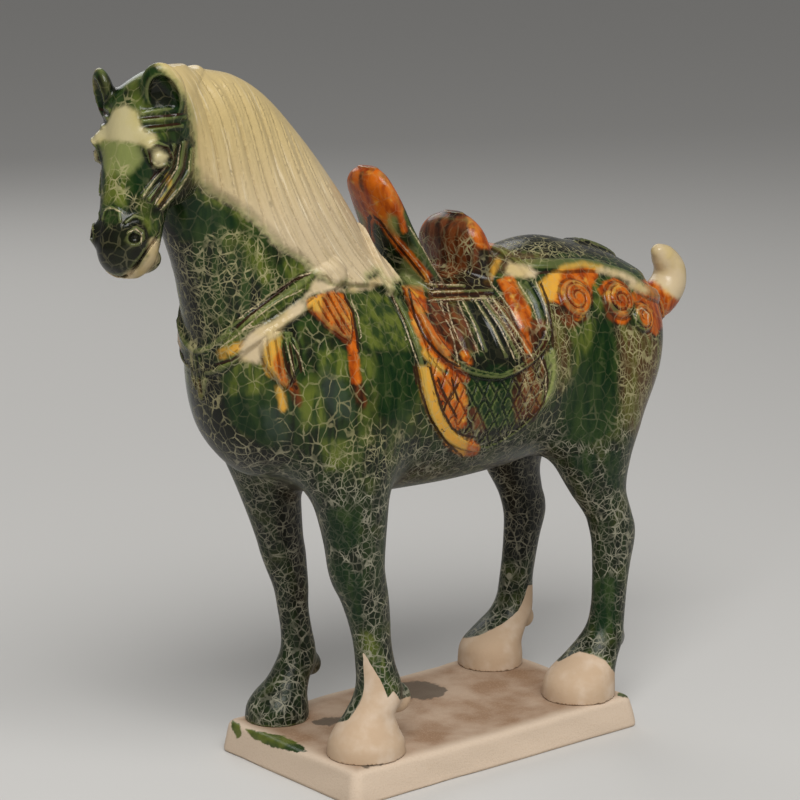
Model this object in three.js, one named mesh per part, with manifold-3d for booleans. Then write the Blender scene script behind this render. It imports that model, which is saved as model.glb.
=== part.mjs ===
// A glazed pottery horse in the Tang manner, standing four-square on its slab.
// Millimetres, +Z up. The head looks towards -X and turns to the horse's left, which is -Y.
// The origin is the centre of the slab's underside.

import * as THREE from "three";
import { mergeVertices } from "three/addons/utils/BufferGeometryUtils.js";
import Module from "manifold-3d";

// Driving dimensions
const HORSE_HEIGHT = 355;
const SLAB_THICKNESS = 17;
const SLAB_BATTER = 2.7;
const SLAB_CORNER_RADIUS = 5;
const SLAB_MARGIN_ENDS = 1.5;
const SLAB_MARGIN_SIDES = 3;

// The figure is drawn on a grid 355 units tall, measured from the ground under the hooves.
// Along is towards the tail, across is towards the horse's right, and up is up.
const GRID_HEIGHT = 355;
const UNIT = HORSE_HEIGHT / GRID_HEIGHT;
const STANCE_LENGTH = 197 * UNIT;
const STANCE_WIDTH = 110 * UNIT;
const SLAB_LENGTH = STANCE_LENGTH + 2 * SLAB_MARGIN_ENDS;
const SLAB_WIDTH = STANCE_WIDTH + 2 * SLAB_MARGIN_SIDES;

// Mesh fineness, in grid units and in triangles
const CELL = 2.4;
const BLOCK = 4;
const HORSE_TRIANGLES = 9700;
const CORNER_STEPS = 5;

// Thinning: numbers kept for a point's planes, and weights against long and crowded edges
const PLANE_SUMS = 10;
const SPREAD_WEIGHT = 1e-3;
const LENGTH_WEIGHT = 1e-5;
const TURN_LIMIT = 0.25;
const SLIVER_AREA = 1e-7;
const SINGULAR = 1e-12;
const CORNER_PATTERNS = 2 ** 8;

const TURN = Math.PI / 180;
const ROD_REACH = 8;
const SKIN_ROUNDS = 4;
const STRAP_STEPS = 6;
const TAIL_STEPS = 4;

// Basic sums
const clamp = (value, low, high) => Math.min(high, Math.max(low, value));
const mix = (a, b, share) => a + (b - a) * share;

function ease(low, high, value) {
  const share = clamp((value - low) / (high - low), 0, 1);
  return share * share * (3 - 2 * share);
}

// A bank that stands between two places, with sloping ends as long as slope
const bank = (low, high, slope, value) => (
  ease(low - slope, low, value) - ease(high, high + slope, value)
);

// Two bodies joined with a soft fillet about as wide as reach
function join(a, b, reach) {
  const overlap = Math.max(reach - Math.abs(a - b), 0) / reach;
  return Math.min(a, b) - overlap * overlap * reach / 4;
}

// The first body with the second cut out of it, the edge softened by reach
const carve = (body, tool, reach) => -join(-body, tool, reach);

// Distance to an ellipse centred on the offsets, near enough to be blended
function ovalDistance(u, v, halfU, halfV) {
  const nearness = Math.hypot(u / halfU, v / halfV);
  const steepness = Math.hypot(u / halfU ** 2, v / halfV ** 2);
  if (steepness === 0) return -Math.min(halfU, halfV);
  return nearness * (nearness - 1) / steepness;
}

// The same for an egg that stands at a place, with three half sizes
function eggDistance(u, v, w, { at, halves }) {
  const [a, b, c] = [u - at[0], v - at[1], w - at[2]];
  const [halfA, halfB, halfC] = halves;
  const nearness = Math.sqrt((a / halfA) ** 2 + (b / halfB) ** 2 + (c / halfC) ** 2);
  const steepness = Math.sqrt((a / halfA ** 2) ** 2 + (b / halfB ** 2) ** 2 + (c / halfC ** 2) ** 2);
  if (steepness === 0) return -Math.min(halfA, halfB, halfC);
  return nearness * (nearness - 1) / steepness;
}

// A station list gives centre and half sizes at places along one axis.
// It becomes a smooth table that is read off at every unit.
function smoothTable(stations) {
  const start = stations[0][0];
  const end = stations[stations.length - 1][0];
  const last = Math.ceil(end - start);
  const width = stations[0].length - 1;
  const values = [];
  for (let i = 0; i <= last; i += 1) {
    const at = Math.min(start + i, end);
    let k = 0;
    while (k < stations.length - 2 && stations[k + 1][0] <= at) k += 1;
    const before = stations[Math.max(k - 1, 0)];
    const from = stations[k];
    const to = stations[k + 1];
    const after = stations[Math.min(k + 2, stations.length - 1)];
    const span = to[0] - from[0];
    const share = (at - from[0]) / span;
    const square = share * share;
    const cube = square * share;
    for (let j = 1; j <= width; j += 1) {
      const slopeIn = (to[j] - before[j]) / (to[0] - before[0]) * span;
      const slopeOut = (after[j] - from[j]) / (after[0] - from[0]) * span;
      values.push(from[j] * (2 * cube - 3 * square + 1) + slopeIn * (cube - 2 * square + share)
        + to[j] * (3 * square - 2 * cube) + slopeOut * (cube - square));
    }
  }
  return { start, last, width, values };
}

function readTable(table, at, column) {
  const place = clamp(at - table.start, 0, table.last);
  const k = Math.min(Math.floor(place), table.last - 1);
  const from = table.values[k * table.width + column];
  return mix(from, table.values[(k + 1) * table.width + column], place - k);
}

// A mass whose sections are ellipses: each station is place, centre u, centre v, half u, half v.
// Egg narrows the section towards the low end of u.
function sectionedMass(table, at, u, v, egg = 0) {
  const halfU = readTable(table, at, 2);
  const du = u - readTable(table, at, 0);
  const halfV = readTable(table, at, 3) * (1 + egg * clamp(du / halfU, -1, 1));
  const across = ovalDistance(du, v - readTable(table, at, 1), halfU, halfV);
  const past = Math.max(table.start - at, at - table.start - table.last);
  return past > 0 && across > 0 ? Math.hypot(across, past) : Math.max(across, past);
}

// A round rod along a smooth path: each stop is along, across, up and radius
function smoothRod(stops, steps) {
  const curve = new THREE.CatmullRomCurve3(stops.map(([x, y, z]) => new THREE.Vector3(x, y, z)));
  const count = steps * (stops.length - 1);
  const rod = [];
  for (let i = 0; i <= count; i += 1) {
    const point = curve.getPoint(i / count);
    const k = Math.min(Math.floor(i / steps), stops.length - 2);
    rod.push([point.x, point.y, point.z, mix(stops[k][3], stops[k + 1][3], i / steps - k)]);
  }
  return boxed(rod);
}

// A rod with the box that it lies in, so that far places are soon done with
function boxed(rod) {
  const low = [0, 1, 2].map((axis) => Math.min(...rod.map((stop) => stop[axis] - stop[3])));
  const high = [0, 1, 2].map((axis) => Math.max(...rod.map((stop) => stop[axis] + stop[3])));
  return { rod, low, high };
}

// Distance from a point to the skin of a rod
function rodDistance({ rod, low, high }, x, y, z) {
  const boxGap = Math.hypot(
    Math.max(low[0] - x, x - high[0], 0),
    Math.max(low[1] - y, y - high[1], 0),
    Math.max(low[2] - z, z - high[2], 0),
  );
  if (boxGap > ROD_REACH) return boxGap;
  let best = Infinity;
  for (let i = 0; i < rod.length - 1; i += 1) {
    const [ax, ay, az, fromRadius] = rod[i];
    const [bx, by, bz, toRadius] = rod[i + 1];
    const dx = bx - ax;
    const dy = by - ay;
    const dz = bz - az;
    const length = dx * dx + dy * dy + dz * dz;
    const share = clamp(((x - ax) * dx + (y - ay) * dy + (z - az) * dz) / length, 0, 1);
    const gap = Math.hypot(x - ax - share * dx, y - ay - share * dy, z - az - share * dz);
    best = Math.min(best, gap - mix(fromRadius, toRadius, share));
  }
  return best;
}

// Body: place along, centre up, centre across, half height, half width
const BARREL = smoothTable([
  [-118, 188, 0, 36, 34],
  [-100, 187, 0, 46, 43],
  [-75, 183, 0, 55, 49],
  [-40, 180, 0, 53.5, 51],
  [0, 177, 0, 51, 52],
  [40, 184.5, 0, 56.5, 51],
  [70, 190, 0, 57, 48],
  [95, 190, 0, 51, 44],
  [120, 190, 0, 39, 36],
  [136, 190, 0, 24, 22],
]);
// Eggs that round off the chest and the rump, with the fillet that joins them on
const CHEST = { at: [-114, 0, 188], halves: [30, 38, 41], fillet: 14 };
const RUMP = { at: [102, 0, 193], halves: [37, 39.5, 40], fillet: 16 };
const LEG_FILLET = 16;
const NECK_FILLET = 22;

// Legs: height, centre along, centre across, half depth, half width
const NEAR_FORELEG = smoothTable([
  [-9, -73, -34, 20.5, 19.5],
  [6, -73, -34, 20, 19],
  [13, -73, -34, 17, 16],
  [20, -71, -34, 13.6, 12.6],
  [28, -66, -34, 13, 12],
  [36, -65, -34, 12, 10.6],
  [46, -67, -34, 10.6, 9.2],
  [58, -69, -34, 10.3, 8.6],
  [70, -71, -34, 11.4, 9.6],
  [82, -74, -34, 13, 11],
  [90, -77, -34, 14.4, 12.2],
  [98, -79, -34, 15, 13],
  [112, -80, -34, 16.2, 14.6],
  [130, -82, -34, 19, 17.6],
  [148, -85, -33, 24, 20],
  [178, -90, -30, 30, 21],
  [205, -92, -26, 24, 16],
]);
const FAR_FORELEG = smoothTable([
  [-9, -74, 39, 17, 17],
  [6, -74, 39, 16.5, 16.5],
  [13, -72, 39, 14.5, 14],
  [20, -67, 39, 11.8, 11],
  [28, -62, 39, 11, 10],
  [36, -60, 39, 9.6, 8.6],
  [46, -61, 39, 8.6, 7.6],
  [58, -63, 39, 8.6, 7.4],
  [70, -65, 38, 9.6, 8.4],
  [82, -68, 38, 11.4, 9.8],
  [90, -70, 38, 12.4, 10.8],
  [98, -72, 38, 12.8, 11.4],
  [112, -76, 37, 14.6, 13.2],
  [130, -81, 36, 17.6, 16],
  [148, -86, 34, 22, 19],
  [178, -92, 31, 29, 21],
  [205, -94, 26, 24, 16],
]);
const NEAR_HINDLEG = smoothTable([
  [-9, 74, -35, 20, 19],
  [6, 74, -35, 20, 19],
  [13, 76, -35, 18.5, 17.5],
  [20, 82, -35, 15.5, 14.5],
  [28, 89, -35, 13, 11.8],
  [36, 93, -35, 10.9, 9.4],
  [46, 95, -35, 10.2, 8.4],
  [58, 96, -35, 10.7, 8.2],
  [70, 97, -35, 11.8, 8.6],
  [82, 98, -35, 13.4, 9.4],
  [90, 97, -35, 14.2, 10],
  [98, 94, -35, 14.2, 10.6],
  [112, 87, -34, 17, 13],
  [130, 83, -33, 23.5, 18],
  [148, 84, -31, 31, 22],
  [178, 93.5, -29, 35, 21.5],
  [205, 100, -24, 33, 17],
  [222, 100, -20, 24, 13],
]);
const FAR_HINDLEG = smoothTable([
  [-9, 75, 38, 18, 18],
  [6, 75, 38, 18, 18],
  [13, 76, 38, 17, 16.5],
  [20, 82, 38, 15, 14],
  [28, 90, 38, 12.4, 11.4],
  [36, 93, 38, 10.9, 9.4],
  [46, 94, 38, 10.2, 8.4],
  [58, 96, 38, 10.6, 8.2],
  [70, 98, 38, 11.5, 8.6],
  [82, 100, 38, 13.2, 9.4],
  [90, 99, 38, 13.8, 10],
  [98, 96, 38, 14, 10.6],
  [112, 90, 37, 17, 13],
  [130, 87, 35, 23.5, 18],
  [148, 88, 33, 30, 22],
  [178, 94.5, 29, 34, 21.5],
  [205, 100, 24, 32, 17],
  [222, 100, 20, 24, 13],
]);

// Tufts behind the pasterns
const HEEL_TUFTS = [
  { at: [-52, -34, 25], halves: [7, 5.6, 7.7] },
  { at: [-51, 39, 25], halves: [5.5, 4.4, 6] },
  { at: [101, -35, 27], halves: [5.5, 4.4, 6] },
  { at: [101, 38, 22], halves: [5.5, 4.4, 6] },
];
const TUFT_FILLET = 5;

// Neck: place up the neck, then across its length (positive to the throat) and to the left
const NECK_FOOT = [-80, 190];
const NECK_LEAN = 26;
const NECK = smoothTable([
  [10, -3, 0, 51, 36],
  [40, -2, 0, 52, 34],
  [60, -2.5, 0, 51.5, 31],
  [87, -2.5, 1, 46.5, 27],
  [117, 0.5, 2, 41.5, 22.5],
  [145, 4.5, 4, 34.5, 19.5],
  [162, 9.5, 5, 27.5, 17.5],
  [173, 14.5, 6, 18.5, 13.5],
]);
const NECK_EGG = 0.3;

// Head: height, centre ahead of the poll, centre left, half depth, half width
const HEAD_AT = [-160, -6];
const HEAD_TURN = 20;
const HEAD = smoothTable([
  [257, 47, 0, 5, 6],
  [260, 47, 0, 9.5, 10],
  [266, 47.5, 0.8, 14, 13],
  [274, 46.5, 1, 16.5, 14],
  [282, 43, 0.2, 17.5, 14],
  [290, 38, -1, 19.5, 14.2],
  [300, 32.5, -1.2, 23, 15.7],
  [311, 29, -0.6, 24.5, 18.1],
  [321, 27, 0, 25, 19.5],
  [332, 24, 0, 24, 19.5],
  [341, 21.5, 0, 22, 17.5],
  [348, 18.5, 2.5, 18.5, 10.5],
  [352, 16.5, 4, 11, 5],
]);
const HEAD_FILLET = 6;
// Lumps on both sides of the head: ahead, left and up, half sizes, and the fillet
const HEAD_LUMPS = [
  { at: [22, 9.5, 307], halves: [17, 8, 19], fillet: 4 },
  { at: [41, 13.5, 319], halves: [9, 5.6, 5], fillet: 5 },
  { at: [41, 16.3, 312.5], halves: [5.8, 3.8, 4], fillet: 1.5 },
  { at: [37, 0, 264], halves: [11, 9.5, 7], fillet: 2 },
  { at: [54.5, 9.2, 277], halves: [5, 5, 5.6], fillet: 3 },
];
const NOSTRIL = { at: [58.5, 13, 277.5], halves: [3.4, 3, 2.6], fillet: 1 };
// Mouth: height of the parting in front, how it rises sideways and backwards, and its depth
const MOUTH = {
  height: 257.5, bow: 0.06, rise: 0.6, front: 54, back: 42, opening: 1, depth: 2.4, fillet: 0.8,
};

// Tail: along, across, up, radius, from the dock up to the curled tip
const TAIL = smoothRod([
  [136, 0, 206, 10],
  [151, 0, 201, 10.6],
  [163, 0, 202.5, 10.8],
  [171.5, 0, 210, 10],
  [172.5, 0, 218, 8.8],
  [168, 0, 225, 7],
  [164, 0, 228.5, 4.6],
], TAIL_STEPS);
const TAIL_FILLET = 5;

// Saddle boards: height, centre along, centre across, half thickness, half width
const POMMEL = smoothTable([
  [222, -12, 0, 10, 25],
  [238, -19, 0, 8.5, 24],
  [250, -25, 0.4, 7.4, 21.9],
  [262, -31, 0.8, 6.8, 20.3],
  [274, -36.5, 1, 7, 19],
  [283, -40.5, 1.5, 7, 16.8],
  [289, -42, 1.5, 5.5, 12.5],
  [292.5, -42.5, 1, 2.5, 7],
]);
const CANTLE = smoothTable([
  [222, 25, 1, 13, 26],
  [238, 19.5, 2.5, 12, 26],
  [248, 16.5, 3, 11.5, 25],
  [256, 15, 2.5, 10, 21],
  [261.5, 14.5, 2, 6.5, 14.5],
  [264.5, 14.5, 1, 2.5, 7],
]);

const SEAT = { at: [0, 0, 224], halves: [34, 27, 12.5] };
const SEAT_FILLET = 6;
const SADDLE_FILLET = 4;

// Flaps lie on the barrel. Girth is measured round it from the backbone.
const GIRTH_CENTRE = 182;
const GIRTH_RADIUS = 52;
const FLAP_POINT = 0.6;
const FLAP_EDGE = 1.6;
const MUD_FLAP = {
  middle: -4.5, half: 47, straightTo: 60, foot: 115, roundness: 3, raise: 2, rimWidth: 4.4,
};
const SADDLE_FLAP = {
  middle: -1, half: 41.5, straightTo: 40, foot: 77, roundness: 3, raise: 2, rimWidth: 6,
};
const RIM_RAISE = 0.8;
const RIM_SLOPE = 1.2;
// Pleats fan out from a centre line between two girths, and end fore and aft
const PLEATS = { pitch: 7, raise: 1.3, centre: -6, above: 32, below: 66, ahead: -17, behind: 24, slope: 3 };
const PLEAT_FAN = 0.012;
const PLEAT_FULLNESS = 0.6;
const SEAMS = { girths: [22, 28], raise: 0.9, half: 1, slope: 1.2, ahead: -20, behind: 26 };

// Harness: strap paths over the near side, each point along, across, up
const STRAP_RAISE = 2.2;
const STRAP_EDGE_RAISE = 0.6;
const STRAP_EDGE_WIDTH = 1;
const BREAST_STRAP_HALF = 7.4;
const BREAST_STRAP = [
  [-88, -31, 248.5],
  [-101, -32, 243.5],
  [-114, -34, 238],
  [-127, -33, 232],
  [-142, -24.5, 221.5],
  [-149, -14, 211],
  [-151, 0, 206],
];
const CRUPPER_STRAP_HALF = 4;
const CRUPPER_STRAP = [
  [36, -20, 239],
  [62, -29, 235.5],
  [86, -30, 232.5],
  [103, -35, 226],
  [114, -38, 218],
  [130, -27, 210],
  [145, 0, 208],
];
// Pendants: along, across, up, half width, length, slant. Rosettes: along, across, up, radius.
const PENDANTS = [
  [-98.5, -35, 238, 11.5, 28, 0.32],
  [-127.5, -36, 221.5, 10.5, 29, 0.1],
  [-149, 0, 208, 8.5, 25, 0],
];
const PENDANT_RAISE = 2.8;
const PENDANT_TOP = 0.12;
const PENDANT_SHOULDER = 0.62;
const PENDANT_FULLNESS = 0.8;
const PENDANT_EDGE = 2.6;
const ROSETTES = [
  [62, -42, 220.5, 9],
  [92, -44, 217, 8.2],
  [107, -46, 206.5, 7.2],
  [133, -24, 202, 6.5],
];
const ROSETTE_RAISE = 2.4;
const ROSETTE_GROOVE = { depth: 0.8, from: 0.55, to: 0.75, slope: 1 };
const EDGE_SLOPE = 1.2;

// Mane: place up the neck, then how far across the neck it hangs on the near side
const MANE_EDGE = smoothTable([
  [10, -80],
  [15, -62],
  [22, -47],
  [35, -34],
  [45, -20],
  [55, -8],
  [63, -4],
  [74, 0],
  [82, 6],
  [91, 9.5],
  [100, 12.5],
  [111, 17.5],
  [120, 23],
  [128, 28],
  [140, 31],
  [150, 30],
  [162, 27],
  [185, 22],
]);
const MANE_RAISE = 3;
const MANE_SPAN = { foot: 12, top: 182, slope: 5 };
const MANE_END = [-38, -46];
const MANE_EDGE_WIDTH = 7;
const PARTING_WIDTH = 3;
const FAR_FRINGE = 15;
// Locks of the mane: how far apart, how much they stand out, and how they sway
const LOCK = { pitch: 10, raise: 2.6, sway: 7.5, swayLength: 30, swayMiddle: 85, crestFade: 16 };

// Ears: place on the head, half width, half height, and the degrees that they open and lean
const NEAR_EAR = { at: [36, 14.5, 341.5], half: 10.3, height: 15, opens: 35, leans: 22 };
const FAR_EAR = { at: [37, -18, 339], half: 8.5, height: 13, opens: -35, leans: 15 };
const EAR_THICKNESS = 0.55;
const EAR_BOWL = { forward: 0.5, up: 1, thickness: 0.55, width: 0.7, height: 0.78 };
const EAR_RIM = 1;
const EAR_FILLET = 3;

// The box in which the field is sampled reaches past the farthest masses by a named room
const FIELD_ROOM = 14;
const HEAD_REACH = sectionReach(HEAD, 0, 2);
const SIDE_REACH = sectionReach(BARREL, 1, 3);
const FIELD_LOW = [HEAD_AT[0] - HEAD_REACH - FIELD_ROOM, -SIDE_REACH - FIELD_ROOM, -FIELD_ROOM];
const FIELD_HIGH = [
  TAIL.high[0] + FIELD_ROOM, SIDE_REACH + FIELD_ROOM, NEAR_EAR.at[2] + NEAR_EAR.height + FIELD_ROOM,
];

// The farthest that a table's sections reach from its middle line, by the columns of centre and half size
function sectionReach({ width, values }, centre, half) {
  const rows = Array.from({ length: values.length / width }, (unused, row) => row * width);
  return Math.max(...rows.map((row) => Math.abs(values[row + centre]) + values[row + half]));
}

function turned(u, v, degrees) {
  const cos = Math.cos(degrees * TURN);
  const sin = Math.sin(degrees * TURN);
  return [cos * u + sin * v, cos * v - sin * u];
}

function neckPlace(x, z) {
  const [ahead, up] = turned(NECK_FOOT[0] - x, z - NECK_FOOT[1], -NECK_LEAN);
  return [up, ahead];
}

function headPlace(x, y) {
  return turned(HEAD_AT[0] - x, HEAD_AT[1] - y, HEAD_TURN);
}

function trunk(x, y, z) {
  const fore = join(sectionedMass(BARREL, x, z, y), eggDistance(x, y, z, CHEST), CHEST.fillet);
  return join(fore, eggDistance(x, y, z, RUMP), RUMP.fillet);
}

function legs(x, y, z) {
  const fore = y < 0 ? NEAR_FORELEG : FAR_FORELEG;
  const hind = y < 0 ? NEAR_HINDLEG : FAR_HINDLEG;
  return Math.min(sectionedMass(fore, z, x, y), sectionedMass(hind, z, x, y));
}

// An ear is a leaf leaning forward on the head, hollowed on the side that it opens to
function ear(ahead, left, z, { at, half, height, opens, leans }) {
  const [up, lean] = turned(z - at[2], ahead - at[0], leans);
  const [front, side] = turned(lean, left - at[1], opens);
  const leaf = { at: [0, 0, 0], halves: [half * EAR_THICKNESS, half, height] };
  const bowl = {
    at: [half * EAR_BOWL.forward, 0, -EAR_BOWL.up],
    halves: [half * EAR_BOWL.thickness, half * EAR_BOWL.width, height * EAR_BOWL.height],
  };
  return carve(eggDistance(front, side, up, leaf), eggDistance(front, side, up, bowl), EAR_RIM);
}

// The parting of the lips, a thin cut in the skin that rises backwards
function mouthSlit(ahead, side, z, headSkin) {
  const line = MOUTH.height + MOUTH.bow * side ** 2 + MOUTH.rise * Math.max(MOUTH.front - ahead, 0);
  return Math.max(Math.abs(z - line) - MOUTH.opening, MOUTH.back - ahead, -headSkin - MOUTH.depth);
}

function head(x, y, z) {
  const [ahead, left] = headPlace(x, y);
  const side = Math.abs(left);
  let d = sectionedMass(HEAD, z, ahead, left);
  for (const lump of HEAD_LUMPS) d = join(d, eggDistance(ahead, side, z, lump), lump.fillet);
  d = carve(d, eggDistance(ahead, side, z, NOSTRIL), NOSTRIL.fillet);
  d = carve(d, mouthSlit(ahead, side, z, d), MOUTH.fillet);
  for (const oneEar of [NEAR_EAR, FAR_EAR]) d = join(d, ear(ahead, left, z, oneEar), EAR_FILLET);
  return d;
}

function neck(x, y, z) {
  const [up, ahead] = neckPlace(x, z);
  return sectionedMass(NECK, up, ahead, -y, NECK_EGG);
}

// How far the mane stands off the neck, with its locks running down along the neck
function maneRaise(x, y, z) {
  const [up, ahead] = neckPlace(x, z);
  const crest = readTable(NECK, up, 0) - readTable(NECK, up, 2);
  const nearEdge = readTable(MANE_EDGE, up, 0);
  const farEdge = crest + FAR_FRINGE;
  const edge = mix(farEdge, nearEdge, ease(PARTING_WIDTH, -PARTING_WIDTH, y));
  const cover = ease(0, MANE_EDGE_WIDTH, edge - ahead)
    * bank(MANE_SPAN.foot, MANE_SPAN.top, MANE_SPAN.slope, up) * ease(MANE_END[0], MANE_END[1], x);
  if (cover === 0) return 0;
  const sway = LOCK.sway * Math.cos((up - LOCK.swayMiddle) / LOCK.swayLength);
  const across = (ahead - sway) / LOCK.pitch;
  const lock = (Math.abs(Math.sin(Math.PI * across)) - 0.5) * ease(0, LOCK.crestFade, ahead - crest);
  return cover * (MANE_RAISE + LOCK.raise * lock);
}

// Half length of a flap at a girth, and how far inside its outline a place is
function flapInset(flap, x, girth) {
  const halfAt = (at) => {
    const share = clamp((at - flap.straightTo) / (flap.foot - flap.straightTo), 0, 1);
    return flap.half * (1 - share ** flap.roundness) ** FLAP_POINT;
  };
  const step = 0.5;
  const slope = (halfAt(girth + step) - halfAt(girth - step)) / (2 * step);
  return (halfAt(girth) - Math.abs(x - flap.middle)) / Math.hypot(1, slope);
}

// A flap stands off the skin, with a rim raised round its edge
function flapRaise(flap, inset) {
  return flap.raise * ease(0, FLAP_EDGE, inset)
    + RIM_RAISE * bank(FLAP_EDGE, flap.rimWidth - RIM_SLOPE, RIM_SLOPE, inset);
}

function pleatRaise(x, girth, inset) {
  const fan = (x - PLEATS.centre) / (1 + Math.max(girth - PLEATS.above, 0) * PLEAT_FAN);
  const fold = Math.abs(Math.sin(Math.PI * fan / PLEATS.pitch)) ** PLEAT_FULLNESS - 0.5;
  const cover = bank(PLEATS.above, PLEATS.below, PLEATS.slope, girth)
    * bank(PLEATS.ahead, PLEATS.behind, PLEATS.slope, fan)
    * ease(SADDLE_FLAP.rimWidth, SADDLE_FLAP.rimWidth + PLEATS.slope, inset);
  return PLEATS.raise * fold * cover;
}

function seamRaise(x, girth) {
  let seams = 0;
  for (const at of SEAMS.girths) seams += bank(at - SEAMS.half, at + SEAMS.half, SEAMS.slope, girth);
  return SEAMS.raise * seams * bank(SEAMS.ahead, SEAMS.behind, SEAMS.slope, x);
}

function saddleRaise(x, y, z) {
  const girth = Math.atan2(Math.abs(y), z - GIRTH_CENTRE) * GIRTH_RADIUS;
  const mudInset = flapInset(MUD_FLAP, x, girth);
  if (mudInset < 0) return 0;
  const saddleInset = flapInset(SADDLE_FLAP, x, girth);
  return flapRaise(MUD_FLAP, mudInset) + flapRaise(SADDLE_FLAP, saddleInset)
    + pleatRaise(x, girth, saddleInset) + seamRaise(x, girth);
}

// The saddle's boards and seat
function saddleBody(x, y, z) {
  const boards = Math.min(sectionedMass(POMMEL, z, x, y), sectionedMass(CANTLE, z, x, y));
  return join(eggDistance(x, y, z, SEAT), boards, SEAT_FILLET);
}

// Where each mass can matter, so that the rest is skipped
const TRUNK_REGION = 100;
const LEG_REGION = 240;
const NECK_REGION = -5;
const HEAD_REGION = -125;
const TAIL_REGION = 110;
const SADDLE_MARGIN = 12;
const SADDLE_REGION = {
  half: MUD_FLAP.half + SADDLE_MARGIN,
  above: SEAT.at[2] - SEAT.halves[2] - SADDLE_MARGIN,
};
const RELIEF_REACH = 8;

function bareSkin(x, y, z) {
  if (z < TRUNK_REGION) return legs(x, y, z);
  let d = trunk(x, y, z);
  if (z < LEG_REGION) d = join(d, legs(x, y, z), LEG_FILLET);
  if (x < NECK_REGION) d = join(d, neck(x, y, z), NECK_FILLET);
  return d;
}

// Direction in which the bare skin faces near a place
function skinFacing(point) {
  const step = 0.5;
  const slope = [0, 1, 2].map((axis) => {
    const ahead = [...point];
    const behind = [...point];
    ahead[axis] += step;
    behind[axis] -= step;
    return bareSkin(...ahead) - bareSkin(...behind);
  });
  return new THREE.Vector3(...slope).normalize();
}

// A place moved onto the bare skin, in rounds that close in on it
function ontoSkin(point) {
  let moved = [...point];
  for (let round = 0; round < SKIN_ROUNDS; round += 1) {
    const gap = bareSkin(...moved);
    const facing = skinFacing(moved);
    moved = moved.map((value, axis) => value - gap * facing.getComponent(axis));
  }
  return moved;
}

// A strap's middle line, laid on the skin through the points of its path
const layStrap = (path) => {
  const { rod } = smoothRod(path.map((point) => [...ontoSkin(point), 0]), STRAP_STEPS);
  return boxed(rod.map(([x, y, z]) => [...ontoSkin([x, y, z]), 0]));
};
const breastStrap = layStrap(BREAST_STRAP);
const crupperStrap = layStrap(CRUPPER_STRAP);

// A patch on the skin with its own axes: sideways along the skin, and down it
function patchAt([along, across, up]) {
  const place = new THREE.Vector3(...ontoSkin([along, across, up]));
  const facing = skinFacing(place.toArray());
  const down = new THREE.Vector3(0, 0, -1).projectOnPlane(facing).normalize();
  return { place, down, sideways: new THREE.Vector3().crossVectors(facing, down) };
}

const pendants = PENDANTS.map(([along, across, up, half, length, slant]) => (
  { ...patchAt([along, across, up]), half, length, slant }
));
const rosettes = ROSETTES.map(([along, across, up, radius]) => (
  { ...patchAt([along, across, up]), radius }
));

// How far a place on a strap stands off the skin: flat, with a raised edge on both sides
function strapRaise(strap, half, x, y, z) {
  const off = rodDistance(strap, x, y, z);
  if (off > half + EDGE_SLOPE) return 0;
  return STRAP_RAISE * ease(half + EDGE_SLOPE, half - EDGE_SLOPE, off)
    + STRAP_EDGE_RAISE * bank(half - 2 * STRAP_EDGE_WIDTH, half - STRAP_EDGE_WIDTH, STRAP_EDGE_WIDTH, off);
}

// How far a place lies below a patch's middle, and how far to the side of it
function placeOnPatch({ place, down, sideways }, x, y, z) {
  const [dx, dy, dz] = [x - place.x, y - place.y, z - place.z];
  return [dx * down.x + dy * down.y + dz * down.z, dx * sideways.x + dy * sideways.y + dz * sideways.z];
}

// A pendant hangs as a leaf, broad above and pointed below
function pendantRaise(pendant, x, y, z) {
  const [below, sideways] = placeOnPatch(pendant, x, y, z);
  const { half, length, slant } = pendant;
  const aside = sideways - slant * below;
  if (below < -PENDANT_EDGE || below > length) return 0;
  const share = Math.min(Math.max(below / length, 0) + PENDANT_TOP, 1);
  const halfHere = half * Math.sin(Math.PI * share ** PENDANT_SHOULDER) ** PENDANT_FULLNESS;
  return PENDANT_RAISE * ease(0, PENDANT_EDGE, halfHere - Math.abs(aside));
}

// A rosette is a low boss with a groove round its middle
function rosetteRaise(rosette, x, y, z) {
  const { radius } = rosette;
  const off = Math.hypot(...placeOnPatch(rosette, x, y, z));
  if (off > radius + EDGE_SLOPE) return 0;
  const { depth, from, to, slope } = ROSETTE_GROOVE;
  return ROSETTE_RAISE * ease(radius + EDGE_SLOPE, radius - EDGE_SLOPE, off)
    - depth * bank(radius * from, radius * to, slope, off);
}

// Harness is the same on both sides, so a far point is looked up on the near side
function harnessRaise(x, y, z) {
  const near = -Math.abs(y);
  let raise = Math.max(
    strapRaise(breastStrap, BREAST_STRAP_HALF, x, near, z),
    strapRaise(crupperStrap, CRUPPER_STRAP_HALF, x, near, z),
  );
  for (const pendant of pendants) raise = Math.max(raise, pendantRaise(pendant, x, near, z));
  for (const rosette of rosettes) raise = Math.max(raise, rosetteRaise(rosette, x, near, z));
  return raise;
}

function heelTufts(x, y, z) {
  let d = Infinity;
  for (const tuft of HEEL_TUFTS) d = Math.min(d, eggDistance(x, y, z, tuft));
  return d;
}

// The whole horse as one skin: negative inside, and about the distance to the skin near it
function horseField(x, y, z) {
  let d = bareSkin(x, y, z);
  if (z < TRUNK_REGION) return join(d, heelTufts(x, y, z), TUFT_FILLET);
  if (Math.abs(d) < RELIEF_REACH) {
    d -= harnessRaise(x, y, z) + saddleRaise(x, y, z);
    if (x < NECK_REGION) d -= maneRaise(x, y, z);
  }
  if (Math.abs(x) < SADDLE_REGION.half && z > SADDLE_REGION.above) {
    d = join(d, saddleBody(x, y, z), SADDLE_FILLET);
  }
  if (x < HEAD_REGION) d = join(d, head(x, y, z), HEAD_FILLET);
  if (x > TAIL_REGION) d = join(d, rodDistance(TAIL, x, y, z), TAIL_FILLET);
  return d;
}

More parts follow.
